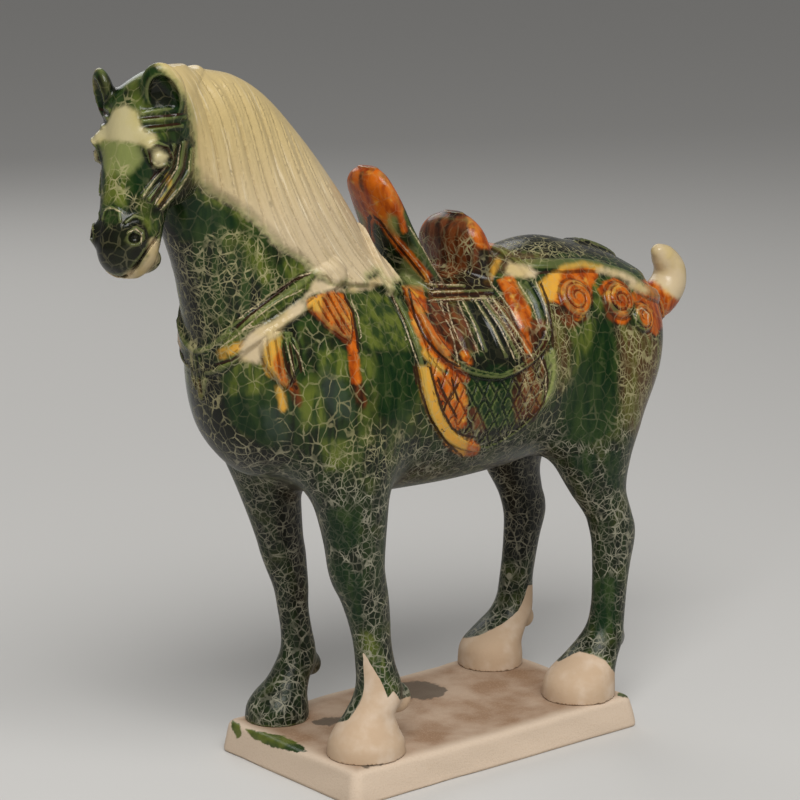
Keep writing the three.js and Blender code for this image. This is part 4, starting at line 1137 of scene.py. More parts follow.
def bare_depth(x, y, z):
    """How far below the glaze's edge a place on a leg is, in millimetres."""
    depth = np.full(x.shape, -FAR_AWAY)
    for name, table in LEG_TABLES.items():
        at_front = x < FORELEGS_BEFORE
        on_leg = (at_front == ("fore" in name)) & ((y < 0) == ("near" in name)) & (z < BARE_BELOW)
        front = read_table(table, z, 0) - x
        side = read_table(table, z, 1) - y
        angle = np.degrees(np.arctan2(side, front))
        angles, heights = zip(*GLAZE_EDGES[name])
        edge = np.interp(angle, angles, heights, period=FULL_TURN)
        depth = np.where(on_leg, edge - z, depth)
    return depth


# Marks on the body, each a closed outline, or half a width in pixels with an open path
BODY_MARKS = {
    "quiet": {
        "shoulder": [(366, 290), (410, 300), (420, 400), (400, 430), (376, 420), (366, 350)],
        "cantle": [(415, 205), (500, 205), (500, 240), (470, 236), (440, 250), (424, 262)],
        "pommel": [(340, 160), (400, 160), (440, 284), (420, 284), (360, 210)],
        "thigh": [(592, 316), (616, 320), (618, 440), (580, 446), (566, 430)],
    },
    "deep": {
        "under_mane": [(163, 208), (188, 190), (206, 205), (232, 212), (246, 232), (222, 226), (200, 240),
            (172, 240)],
        "chest": [(223, 396), (262, 394), (276, 418), (286, 440), (262, 447), (232, 427)],
        "shoulder": [(378, 352), (412, 352), (416, 378), (415, 412), (400, 424), (378, 412)],
        "thigh": [(600, 318), (612, 325), (616, 360), (615, 432), (590, 444), (566, 440), (560, 402),
            (577, 370), (592, 345)],
        "croup_line": (2.2, [(531, 268), (552, 264), (580, 259), (602, 263), (622, 270), (640, 281)]),
        "flap_folds": [(466, 303), (480, 303), (500, 330), (513, 358), (505, 364), (488, 362), (479, 343)],
        "flap_band": (5, [(526, 284), (536, 300), (543, 318)]),
        "pommel_stripe": (4.5, [(403, 208), (412, 228), (424, 252), (436, 272)]),
        "mane_foot": (3, [(373, 274), (380, 291)]),
        "mane_foot_two": (3.2, [(393, 284), (401, 298)]),
        "flap_middle": [(470, 362), (512, 364), (522, 380), (520, 425), (490, 440), (472, 425), (468, 390)],
        "petals": [(286, 341), (296, 350), (302, 366), (299, 380), (290, 378), (284, 362)],
    },
    "olive": {
        "chest_top": [(219, 362), (262, 361), (268, 380), (262, 396), (225, 397), (221, 380)],
        "shoulder_top": [(346, 286), (368, 292), (392, 294), (413, 330), (415, 350), (372, 352),
            (358, 318)],
        "by_mane": [(276, 264), (300, 256), (313, 266), (296, 280), (278, 278)],
        "field": [(316, 352), (346, 350), (347, 380), (330, 374), (318, 364)],
        "field_right": [(360, 352), (374, 356), (374, 378), (361, 382)],
        "neck": [(240, 236), (256, 244), (268, 262), (272, 280), (258, 284), (246, 262)],
        "between_rosettes": [(589, 280), (604, 278), (607, 300), (600, 312), (592, 296)],
        "strap_upper": (5, [(226, 344), (250, 324), (275, 306), (300, 288), (314, 281)]),
        "below_pendant": [(298, 392), (322, 388), (326, 424), (304, 432)],
        "flap_olive": [(480, 384), (502, 384), (500, 424), (482, 430)],
        "mane_rim": (4, [(188, 184), (200, 198), (222, 204), (240, 214)]),
        "thigh_front": [(574, 322), (598, 320), (592, 345), (576, 374), (566, 372)],
        "leg_top": [(322, 440), (352, 440), (350, 470), (326, 470)],
    },
    # Painted reflection: a grey sheen on the shoulder and on the chest
    "stain_and_sheen": {
        "shoulder": [(324, 364), (338, 378), (352, 402), (352, 420), (332, 414), (320, 400)],
        "chest": [(262, 410), (278, 408), (290, 432), (284, 444), (268, 436)],
    },
    "tan": {
        "flank": [(546, 300), (560, 318), (570, 342), (569, 372), (561, 392), (556, 360), (550, 330)],
        "rear": [(618, 322), (640, 330), (668, 345), (664, 400), (640, 440), (622, 420), (622, 372)],
        "croup": [(491, 238), (520, 252), (546, 254), (530, 264), (512, 275), (494, 270)],
    },
    "brown": {
        "flap_panel": [(426, 300), (448, 300), (452, 322), (460, 344), (460, 362), (440, 350), (426, 328)],
        "flap_strap": [(449, 303), (460, 303), (470, 328), (479, 352), (462, 354), (455, 335)],
        "flap_right": [(486, 300), (500, 298), (518, 318), (546, 320), (549, 352), (532, 368), (520, 360),
            (508, 336)],
        "quilt_right": [(514, 366), (544, 360), (546, 400), (534, 420), (516, 428), (512, 392)],
        "pommel_far": [(335, 160), (362, 160), (366, 196), (360, 207), (348, 200), (338, 180)],
        "cantle": [(415, 205), (495, 205), (492, 262), (486, 276), (440, 280), (424, 250)],
        "rosette_left": [(552, 300), (566, 304), (578, 318), (572, 332), (556, 316)],
        "rosette_one": [(582, 284), (592, 296), (588, 318), (578, 326), (572, 312), (584, 304)],
        "rosette_two": [(602, 300), (612, 296), (634, 304), (630, 322), (616, 326), (606, 316)],
        "pendant_drip": (5, [(356, 378), (362, 404)]),
        "pendant_tip": (4.5, [(286, 366), (294, 388), (298, 402)]),
        "quilt_foot": [(456, 404), (476, 408), (490, 436), (470, 442), (458, 430)],
        "tail_root": [(640, 296), (652, 300), (656, 322), (650, 340), (640, 322)],
        "seat": [(424, 280), (492, 276), (492, 300), (430, 302)],
    },
    "amber": {
        "pendant_one": [(306, 300), (320, 294), (333, 290), (343, 294), (351, 310), (355, 330), (357, 346),
            (345, 343), (334, 334), (321, 322), (309, 312)],
        "pendant_run": (5, [(352, 340), (354, 362), (356, 380)]),
        "pendant_two": [(272, 348), (281, 344), (282, 360), (286, 374), (293, 392), (280, 384), (270, 368)],
        "flap_rim": (5.5, [(413, 300), (417, 322), (426, 343), (440, 358), (456, 370), (464, 378)]),
        "flap_leaf": (6.5, [(420, 318), (432, 335), (446, 351)]),
        "flap_panel": [(402, 286), (422, 284), (428, 312), (412, 316)],
        "strap": [(497, 280), (512, 275), (521, 290), (531, 310), (531, 328), (519, 326), (508, 305)],
        "strap_foot": (4, [(524, 330), (528, 350)]),
        "rosette_mid": (9, [(608, 290), (626, 300)]),
        "rosette_far": [(634, 284), (648, 287), (658, 300), (656, 322), (646, 328), (636, 310)],
        "quilt": [(430, 364), (446, 374), (462, 378), (468, 400), (466, 428), (454, 430), (443, 412),
            (435, 390)],
        "rim_foot": (8, [(452, 441), (463, 448), (472, 448)]),
        "pommel": [(362, 160), (400, 165), (404, 200), (403, 215), (386, 218), (376, 216), (360, 206),
            (364, 190)],
        "pommel_edge": (5, [(364, 209), (382, 220), (396, 241), (412, 260), (428, 278)]),
        "pommel_inside": (3.4, [(393, 200), (400, 216), (404, 230)]),
        "cantle": [(467, 216), (480, 216), (496, 240), (490, 250), (479, 248), (470, 236)],
        "croup": [(550, 276), (562, 268), (586, 264), (600, 270), (592, 286), (592, 300), (586, 316),
            (576, 322), (566, 306), (552, 302)],
        "rosette_two": [(604, 284), (614, 276), (628, 286), (633, 300), (626, 306), (618, 300), (608, 300)],
        "rosette_drop": [(614, 312), (626, 310), (630, 318), (624, 326), (615, 322)],
        "tail_root": [(642, 280), (656, 280), (670, 290), (684, 304), (668, 320), (656, 336), (650, 330),
            (654, 308)],
        "strap_end": (4, [(464, 354), (470, 362)]),
    },
    "yellow": {
        "pendant_two": [(262, 342), (282, 336), (279, 350), (273, 362), (277, 381), (265, 373), (262, 358)],
        "pendant_one": [(307, 299), (322, 295), (322, 312), (310, 310)],
        "pendant_fall": (3.4, [(280, 388), (283, 408)]),
        "mud_rim": [(417, 366), (430, 366), (435, 390), (443, 414), (455, 432), (468, 440), (464, 458),
            (445, 443), (430, 420), (421, 394)],
        "rim_top": (3, [(424, 352), (440, 368)]),
        "cantle_streak": (3, [(497, 262), (487, 282)]),
        "croup": [(538, 284), (552, 272), (562, 270), (556, 300), (546, 302)],
        "crupper": (2.6, [(562, 268), (582, 264), (600, 268)]),
        "pendant_three": (4, [(198, 384), (198, 402)]),
        "tail": (4, [(668, 290), (680, 292)]),
        "strap_end": (4.5, [(222, 354), (242, 346)]),
    },
    "lime": {
        "flap_rim": (4.4, [(550, 355), (554, 372), (552, 388), (545, 400)]),
        "pommel_patch": [(384, 222), (390, 213), (397, 219), (398, 236), (390, 233)],
        "seat_side": [(404, 258), (420, 276), (430, 290), (412, 288), (400, 276)],
        "flap_band": (2.4, [(519, 284), (530, 302)]),
    },
    "dark": {
        "throat": [(158, 214), (176, 232), (194, 280), (206, 330), (196, 362), (172, 340), (160, 280)],
        "chest_left": [(186, 362), (217, 362), (222, 398), (233, 427), (264, 448), (300, 462), (236, 470),
            (200, 430), (180, 390)],
        "seat": [(458, 270), (490, 268), (492, 290), (470, 294), (456, 286)],
        "cantle_foot": [(478, 250), (490, 250), (486, 270), (476, 268)],
        "flap_folds": [(468, 302), (484, 300), (512, 340), (520, 362), (488, 366), (476, 340)],
        "pocket_one": [(468, 358), (486, 354), (490, 368), (474, 372)],
        "pocket_two": [(497, 350), (510, 352), (513, 368), (500, 368)],
        "pocket_three": [(513, 352), (524, 356), (527, 370), (516, 372)],
        "flap_foot": [(470, 430), (500, 428), (530, 416), (540, 412), (524, 432), (482, 448)],
        "croup": [(500, 225), (560, 225), (640, 262), (600, 256), (562, 252), (520, 250), (496, 244)],
        "rein": (3, [(432, 279), (448, 280)]),
    },
    "cream": {
        "strap": [(240, 360), (240, 348), (250, 332), (262, 325), (273, 321), (286, 311), (300, 301),
            (310, 291), (313, 280), (332, 282), (346, 291), (332, 290), (313, 294), (306, 300), (304, 313),
            (286, 323), (280, 335), (268, 341), (263, 350), (260, 364)],
        "pommel_foot": (4, [(352, 288), (372, 284), (390, 276)]),
        "crupper": (3, [(600, 270), (622, 275), (640, 285)]),
        "crupper_drop": (4, [(632, 284), (644, 290)]),
        "croup": [(508, 262), (530, 266), (540, 276), (524, 278), (506, 274)],
    },
    "net": {
        "flap_middle": [(464, 366), (520, 366), (544, 360), (546, 392), (520, 420), (470, 404)],
        "folds": [(480, 298), (500, 296), (536, 356), (514, 362)],
        "cantle": [(440, 236), (468, 230), (480, 252), (470, 274), (444, 276)],
        "croup": [(500, 238), (560, 240), (610, 256), (560, 260), (510, 258)],
        "under_belly": [(372, 430), (440, 450), (520, 446), (560, 428), (560, 500), (300, 500), (330, 452)],
        "neck": [(205, 218), (250, 226), (284, 280), (262, 318), (215, 320)],
        "throat": [(170, 240), (206, 240), (240, 345), (216, 362), (180, 350)],
        "chest_left": [(180, 362), (220, 362), (224, 400), (210, 410), (190, 400)],
        "rear": [(612, 322), (668, 340), (660, 400), (640, 450), (612, 450)],
        "flank": [(545, 298), (572, 318), (574, 390), (552, 396)],
    },
}
LEG_MARKS = {
    "deep": {
        "foreleg": [(325, 508), (362, 511), (361, 545), (345, 554), (328, 546)],
        "fore_knee": [(330, 560), (352, 566), (350, 604), (336, 590)],
        "fore_shin": [(347, 572), (364, 574), (362, 626), (350, 620)],
        "hindleg": [(592, 578), (618, 577), (617, 628), (594, 638)],
        "thigh": [(566, 430), (600, 440), (592, 480), (574, 470)],
        "thigh_back": [(604, 440), (624, 440), (620, 490), (606, 486)],
    },
    "olive": {
        "fore_top": [(326, 436), (352, 440), (352, 496), (330, 492)],
        "hoof_rim": (4, [(592, 656), (608, 664)]),
        "pastern": (7, [(368, 640), (382, 672), (390, 690)]),
    },
    "dark": {
        "far_fore": (5, [(272, 582), (278, 632)]),
        "far_fore_inside": [(276, 476), (304, 478), (308, 560), (300, 650), (292, 560), (276, 530)],
        "far_hind": [(476, 452), (548, 440), (548, 510), (528, 560), (500, 560), (500, 500)],
    },
    "net": {
        "far_fore": [(225, 450), (280, 480), (305, 540), (305, 680), (262, 740), (240, 690), (270, 640),
            (250, 540)],
        "hock": [(592, 470), (634, 490), (634, 576), (594, 576)],
        "fetlock": [(575, 632), (624, 632), (624, 668), (575, 664)],
        "fore_top": [(300, 470), (330, 480), (330, 540), (310, 500)],
        "fore_back": [(356, 450), (390, 450), (384, 506), (364, 506)],
        "pastern": [(345, 600), (390, 600), (395, 700), (350, 660)],
    },
}
HEAD_MARKS = {
    "quiet": {
        "muzzle": [(90, 205), (120, 200), (150, 210), (156, 250), (140, 280), (92, 276)],
        "cheek": [(140, 100), (190, 100), (195, 190), (160, 215), (140, 180)],
        "ear": [(138, 60), (190, 60), (190, 120), (138, 112)],
    },
    "mane": {
        "behind_ear": [(148, 50), (150, 63), (163, 70), (174, 84), (184, 99), (189, 112), (190, 126),
            (194, 142), (193, 166), (197, 186), (230, 200), (230, 50)],
    },
    "deep": {
        "ear": [(138, 76), (149, 64), (160, 74), (174, 90), (186, 104), (188, 122), (176, 120), (160, 112),
            (143, 102)],
        "cheek_back": (5, [(184, 124), (190, 146)]),
        "nose_side": [(128, 160), (150, 156), (152, 176), (140, 196), (128, 190)],
        "nose_end": [(94, 200), (112, 196), (116, 206), (100, 214)],
    },
    "olive": {
        "nose": [(100, 146), (130, 142), (134, 170), (126, 206), (104, 204), (104, 170)],
        "temple": [(143, 132), (158, 128), (166, 140), (156, 150)],
        "below_blaze": [(114, 138), (143, 140), (146, 160), (120, 164)],
        "cheek_one": (3, [(184, 146), (181, 166), (171, 186), (160, 204)]),
        "cheek_two": (3, [(171, 168), (164, 184), (152, 198)]),
        # Lines on the brow's ridges: painted highlights
        "brow": (2.2, [(142, 114), (180, 110)]),
        "brow_two": (2.2, [(144, 123), (182, 120)]),
        "chin": (5, [(149, 222), (152, 240)]),
    },
    "yellow": {
        "cheek_three": (2, [(168, 176), (172, 190), (160, 204)]),
    },
    "lime": {
        "nose_top": [(116, 140), (138, 142), (143, 158), (134, 172), (122, 178), (114, 168), (110, 152)],
        "cheek": (2.2, [(178, 176), (168, 196)]),
    },
    "dark": {
        "muzzle": [(88, 232), (108, 228), (124, 218), (140, 218), (152, 236), (151, 252), (142, 268),
            (124, 277), (100, 278), (88, 256)],
        "poll": [(90, 66), (108, 74), (112, 98), (98, 104), (88, 90)],
        "ear": [(146, 78), (158, 78), (172, 96), (172, 108), (150, 106)],
        "under_jaw": (5, [(156, 210), (176, 200), (190, 186)]),
    },
    "cream": {
        "blaze": [(111, 108), (122, 104), (136, 110), (141, 126), (158, 138), (152, 150), (138, 144),
            (118, 140), (110, 130)],
        "eye": [(152, 149), (160, 148), (168, 156), (163, 166), (154, 167)],
        "lip": (5.2, [(154, 244), (153, 258), (142, 271), (128, 278)]),
        "far_ear": [(104, 80), (116, 84), (116, 100), (106, 100)],
    },
    "net": {
        "nose": [(100, 160), (140, 160), (150, 210), (110, 230), (100, 200)],
    },
}

# Places where the body's glaze shows through the foot of the mane
MANE_NOTCHES = {
    "first": [(338, 298), (345, 284), (353, 298)],
    "second": [(366, 300), (370, 276), (376, 271), (384, 284), (390, 300)],
    "third": [(390, 302), (396, 282), (402, 280), (412, 290), (420, 302)],
}

# Thin lines, in groups of neighbours that don't cross: dark lines, and pale lines that are partly pale glaze
# and partly painted highlights along ridges, as on the cheek's crest, the nostrils' rings and the pommel
BODY_DARK_LINES = {
    "strap": [[(238, 326), (250, 315), (264, 304), (280, 291), (293, 281), (309, 274)]],
    "strap_end": [[(218, 364), (232, 360), (241, 354)]],
    "pendant": [[(344, 296), (353, 312), (357, 336), (358, 350)]],
    "pendant_two": [[(283, 346), (286, 366), (297, 390)], [(290, 345), (294, 372)], [(296, 350),
        (301, 370)]],
    "flap_rim": [[(409, 290), (415, 318), (424, 336), (436, 351), (448, 361), (458, 366)]],
    "mud_rim": [[(430, 368), (436, 390), (442, 410), (452, 428), (462, 435), (474, 437)]],
    "mud_edge": [[(416, 366), (421, 392), (430, 418), (446, 442), (462, 456)]],
    "quilt": [[(438, 380), (446, 398), (456, 416)], [(452, 380), (458, 400)]],
    "quilt_cross": [[(458, 384), (446, 404), (444, 410)]],
    "seat": [[(432, 289), (462, 288)], [(434, 296), (470, 294), (490, 294)]],
    "flap_right": [[(541, 284), (548, 302), (551, 322), (553, 346)]],
    "rim_inside": [[(544, 360), (548, 380), (544, 402), (534, 418)]],
    "pommel": [[(362, 208), (380, 221), (394, 241), (410, 260), (424, 278)]],
    "croup": [[(534, 274), (548, 272)]],
    "shoulder": [[(384, 280), (393, 298), (403, 318)]],
}
# Pale lines: partly pale glaze, partly painted highlights along ridges such as the pommel's
BODY_PALE_LINES = {
    "strap": [[(240, 318), (268, 296), (298, 276), (311, 273)], [(240, 332), (262, 313), (282, 299),
        (302, 290)]],
    "strap_end": [[(222, 346), (244, 331), (258, 325)]],
    "shoulder": [[(387, 281), (396, 304), (405, 325), (412, 346), (419, 366)]],
    "pendant": [[(350, 297), (358, 316), (361, 336)]],
    "pendant_two": [[(287, 345), (290, 358), (294, 372)], [(293, 345), (300, 356), (304, 372)]],
    "folds": [[(440, 300), (446, 320), (454, 342), (458, 362)], [(447, 304), (452, 324), (460, 342),
        (466, 354)], [(458, 302), (468, 326), (478, 352)], [(463, 302), (474, 324), (482, 348)],
        [(475, 301), (492, 326), (503, 350)], [(481, 300), (500, 327), (514, 358)], [(487, 300), (506, 325),
        (522, 352)], [(493, 299), (513, 326), (533, 358)], [(491, 283), (510, 308), (520, 325)]],
    "seat": [[(428, 284), (462, 285)], [(432, 292), (460, 291)], [(430, 300), (456, 299), (490, 298)]],
    "flap_right": [[(519, 284), (532, 304), (539, 326)], [(536, 282), (545, 304), (548, 326)]],
    "pommel": [[(396, 238), (412, 256), (428, 276), (432, 286)], [(410, 228), (422, 247), (434, 268),
        (442, 280)]],
    "rim": [[(540, 358), (546, 372), (546, 392)]],
    "rosette": [[(636, 318), (637, 310), (642, 308), (648, 314), (648, 322)]],
}
HEAD_DARK_LINES = {
    "eye": [[(149, 152), (152, 164)], [(168, 167), (160, 171), (152, 178)]],
    "brow": [[(146, 118), (182, 114)], [(150, 127), (178, 124)]],
    "wrinkle": [[(155, 145), (168, 148), (172, 158)]],
    "cheek": [[(176, 150), (173, 168), (160, 186), (152, 200)], [(186, 154), (183, 172), (168, 194),
        (160, 206)]],
    "temple": [[(143, 135), (154, 135)]],
}
# Pale lines on the head: painted highlights along the ridges of the cheek, the jaw and the nostrils
HEAD_PALE_LINES = {
    "tear": [[(165, 168), (154, 180), (144, 196)]],
    "cheek": [[(180, 148), (177, 168), (164, 188), (156, 202)]],
    "nostril": [[(130, 232), (136, 229), (142, 234), (141, 242)]],
    "far_nostril": [[(106, 210), (114, 208), (120, 212)]],
    "jaw": [[(190, 158), (188, 176), (176, 194), (162, 208)]],
}
LAYERS = (
    "quiet", "deep", "olive", "stain_and_sheen", "tan", "brown", "amber", "yellow", "lime", "dark", "cream", "net",
)

LEG_TOP = 138
BEND_REACH = 1.1
ON_HEAD = 1.2
TAIL_CREAM_FROM = 146
TAIL_CREAM = {
    "tip": [(640, 236), (668, 238), (698, 256), (700, 292), (686, 304), (676, 298), (664, 290), (654, 280),
        (640, 270)],
}

# Streaks along the hair of the mane, in millimetres: darker streaks of painted shade and white streaks of
# painted highlight
STREAK = {"length": 26, "width": 2.2}

# The masks that aren't marks: edges and softness in millimetres, facing from 1 (up) to -1 (down)
MANE_MARGIN = 1
BY_POMMEL = {"ahead": 12, "gap": 1.5}
NET_SOFTNESS = 8
DEEP_SOFTNESS = 4
# The low mask: darker green towards the bottom, and painted shade on faces turned down; it also brings on
# crackle and roughness
LOW_HEIGHTS = (175, 128)
UNDERSIDE = {"facing": (0.1, -0.7), "share": 0.6}
MOST_BEND = 2


def mane_depth(x, y, z):
    """How far inside the mane's edge a place is."""
    up, _, _, inset = mane_places(x, y, z)
    inside = np.minimum(np.minimum(inset, up - MANE_SPAN["foot"]), MANE_SPAN["top"] - up)
    return np.where((x < MANE_END[0]) & (z > TRUNK_REGION), inside - MANE_MARGIN, -FAR_AWAY)


def soft_share(depth, softness):
    """From 0 well outside a mark to 1 well inside it."""
    return np.clip(depth / softness + 0.5, 0, 1)


def bend_of(field, points, reach):
    """How sharply the skin bends near each place: above nought on ridges and below it in hollows."""
    middle = in_chunks(field, *points.T)
    total = 0
    for offset in np.concatenate([np.eye(3), -np.eye(3)]) * reach:
        total = total + in_chunks(field, *(points + offset).T) - middle
    return total / reach**2


def head_gap(x, y, z):
    """Distance from the head's own skin, for places high at the front."""
    gap = np.full(x.shape, FAR_AWAY)
    near = (x < HEAD_REGION) & (z > TRUNK_REGION)
    gap[near] = head(x[near], y[near], z[near])
    return gap


def mane_mask(x, y, z, on_head, places):
    """The mane's depth: its own on the neck, marks on the head, and none on the saddle's front board."""
    notched = np.minimum(mane_depth(x, y, z), -layer_depth(MANE_NOTCHES, *places["body"]))
    mane = np.where(on_head, layer_depth(HEAD_MARKS["mane"], *places["head"]), notched)
    by_pommel = (z > SADDLE_REGION["above"]) & (x > MANE_END[1] - BY_POMMEL["ahead"])
    return np.where(by_pommel & (saddle_boards(x, y, z) < BY_POMMEL["gap"]), -FAR_AWAY, mane)


def paint_horse(points, normals):
    """Masks for the glaze colours and for the painted highlights, reflection and shade, mostly as depths
    inside a patch in millimetres.
    """
    x, y, z = points.T
    on_head = head_gap(x, y, z) < ON_HEAD
    places = {
        "head": picture_place(*head_middle_place(x, y), z),
        "body": picture_place(x, -np.abs(y), z),
        "leg": picture_place(x, y, z),
    }

    def by_region(work, head_marks, body_marks, leg_marks):
        on_body = np.where(z < LEG_TOP, work(leg_marks, *places["leg"]), work(body_marks, *places["body"]))
        return np.where(on_head, work(head_marks, *places["head"]), on_body)

    masks = {
        name: by_region(layer_depth, *(marks.get(name, {}) for marks in (HEAD_MARKS, BODY_MARKS, LEG_MARKS)))
        for name in LAYERS
    }
    for name, lines in (("dark_line", (HEAD_DARK_LINES, BODY_DARK_LINES)),
                        ("pale_and_highlight_line", (HEAD_PALE_LINES, BODY_PALE_LINES))):
        masks[name], masks[name + "_near"] = by_region(line_places, *lines, {})
    masks["mane"] = mane_mask(x, y, z, on_head, places)
    up, ahead, _, _ = mane_places(x, y, z)
    masks["along"] = up / STREAK["length"]
    masks["across"] = mane_flow(up, ahead) / STREAK["width"]
    on_tail = (z > TRUNK_REGION) & (x > TAIL_CREAM_FROM)
    masks["cream"] = np.where(on_tail, layer_depth(TAIL_CREAM, *places["body"]), masks["cream"])
    masks["bare"] = bare_depth(x, y, z)
    masks["net"] = soft_share(masks["net"], NET_SOFTNESS) * (1 - soft_share(masks["deep"], DEEP_SOFTNESS))
    # Painted shade on faces turned down, added to the darkening towards the bottom
    below = ease(*UNDERSIDE["facing"], normals[:, 2]) * UNDERSIDE["share"]
    masks["low"] = np.clip(ease(*LOW_HEIGHTS, z) + below, 0, 1)
    masks["bend"] = np.clip(bend_of(horse_field, points, BEND_REACH), -MOST_BEND, MOST_BEND)
    return masks


# The slab: an oblong with rounded corners, sides that slant in, and edges worn soft
SLAB_LOW = (-104, -62, -20)
SLAB_HIGH = (104, 62, 4)
SLAB_CELL = 1.1
SLAB_TRIANGLES = 90000
SLAB_THICKNESS = 17
SLAB_BATTER = 2.7
SLAB_CORNER = 6
SLAB_INSET = 0.45
SLAB_EDGE = 1.6
HOOF_SETTLE = 10
SLAB_WAVES = [
    {"along": 0.071, "across": 0.043, "up": 0.2, "start": 0.4, "size": 0.22},
    {"along": -0.031, "across": 0.117, "up": 0.31, "start": 1.9, "size": 0.16},
    {"along": 0.19, "across": 0.083, "up": 0.4, "start": 3.1, "size": 0.09},
]
HOOF_PLACES = [(-73, -34, 24), (-74, 39, 22), (74, -35, 24), (75, 38, 22)]
low_corner, high_corner = (np.array(corner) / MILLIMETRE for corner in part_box("plinth"))
SLAB_HALF = (high_corner - low_corner)[:2] / 2


def slab_waves(x, y, z):
    total = 0
    for wave in SLAB_WAVES:
        phase = wave["along"] * x + wave["across"] * y + wave["up"] * z + wave["start"]
        total = total + wave["size"] * (np.sin(phase) - 1)
    return total


def off_hooves(x, y):
    gaps = [np.hypot(x - at_x, y - at_y) - radius for at_x, at_y, radius in HOOF_PLACES]
    return np.minimum.reduce(gaps)


def slab_field(x, y, z):
    """The slab on the grid whose ground is the slab's top."""
    set_in = SLAB_BATTER * np.clip((z + SLAB_THICKNESS) / SLAB_THICKNESS, 0, 1) + SLAB_INSET
    qx = np.abs(x) - (SLAB_HALF[0] - set_in - SLAB_CORNER)
    qy = np.abs(y) - (SLAB_HALF[1] - set_in - SLAB_CORNER)
    outside = np.hypot(np.maximum(qx, 0), np.maximum(qy, 0)) + np.minimum(np.maximum(qx, qy), 0)
    side = outside - SLAB_CORNER - slab_waves(x, y, z)
    top = z - slab_waves(x, y, z) * ease(0, HOOF_SETTLE, off_hooves(x, y))
    body = -join(-side, -top, SLAB_EDGE * 2)
    return -join(-body, z + SLAB_THICKNESS, SLAB_EDGE)


SLAB_MARKS = {
    "green": {
        "leaf": [(231, 719), (240, 722), (243, 735), (237, 740), (231, 731)],
        "pool": [(243, 727), (262, 731), (286, 736), (302, 744), (309, 752), (294, 753), (270, 747),
            (250, 738)],
        "hind_foot": [(610, 672), (617, 675), (619, 685), (612, 688)],
        "hind_edge": (2.5, [(619, 694), (631, 697)]),
    },
    "grey": {
        "middle": [(392, 688), (402, 682), (418, 680), (436, 683), (450, 690), (443, 697), (424, 701),
            (404, 698)],
        "left": [(311, 721), (324, 717), (341, 716), (343, 722), (330, 727), (315, 726)],
        "by_hoof": [(358, 765), (370, 757), (388, 753), (393, 757), (382, 766), (364, 770)],
    },
}
SPOT_SLACK = 0.5
STAIN_FROM_EDGE = (3, 14)
STAIN_FACING = (0.4, 0.95)


def paint_slab(points, normals):
    """Masks for the slab. Marks are laid by true height, but not down the far side's face."""
    x, y, z = points.T
    from_edge = np.minimum(SLAB_HALF[0] - np.abs(x), SLAB_HALF[1] - np.abs(y))
    at_far_side = y > SLAB_HALF[1] - SLAB_CORNER
    in_picture = picture_place(x, y, np.where(at_far_side, 0, z))
    masks = {name: layer_depth(marks, *in_picture) - SPOT_SLACK for name, marks in SLAB_MARKS.items()}
    masks["stain_and_sheen"] = ease(*STAIN_FACING, normals[:, 2]) * ease(*STAIN_FROM_EDGE, from_edge)
    return masks


# Colours are given as they look on a screen, and turned to light by its usual curve
SCREEN_WHITE = 255
CURVE = {"knee": 0.04045, "slope": 12.92, "offset": 0.055, "power": 2.4}


def linear(red, green, blue):
    light = []
    for value in (red, green, blue):
        share = value / SCREEN_WHITE
        if share <= CURVE["knee"]:
            light.append(share / CURVE["slope"])
        else:
            light.append(((share + CURVE["offset"]) / (1 + CURVE["offset"])) ** CURVE["power"])
    return (*light, 1)


NOISE_MIDDLE = 0.5

# Sockets of the colour mixing node
MIX_SHARE = 0
MIX_FIRST = 6
MIX_SECOND = 7
MIX_RESULT = 2


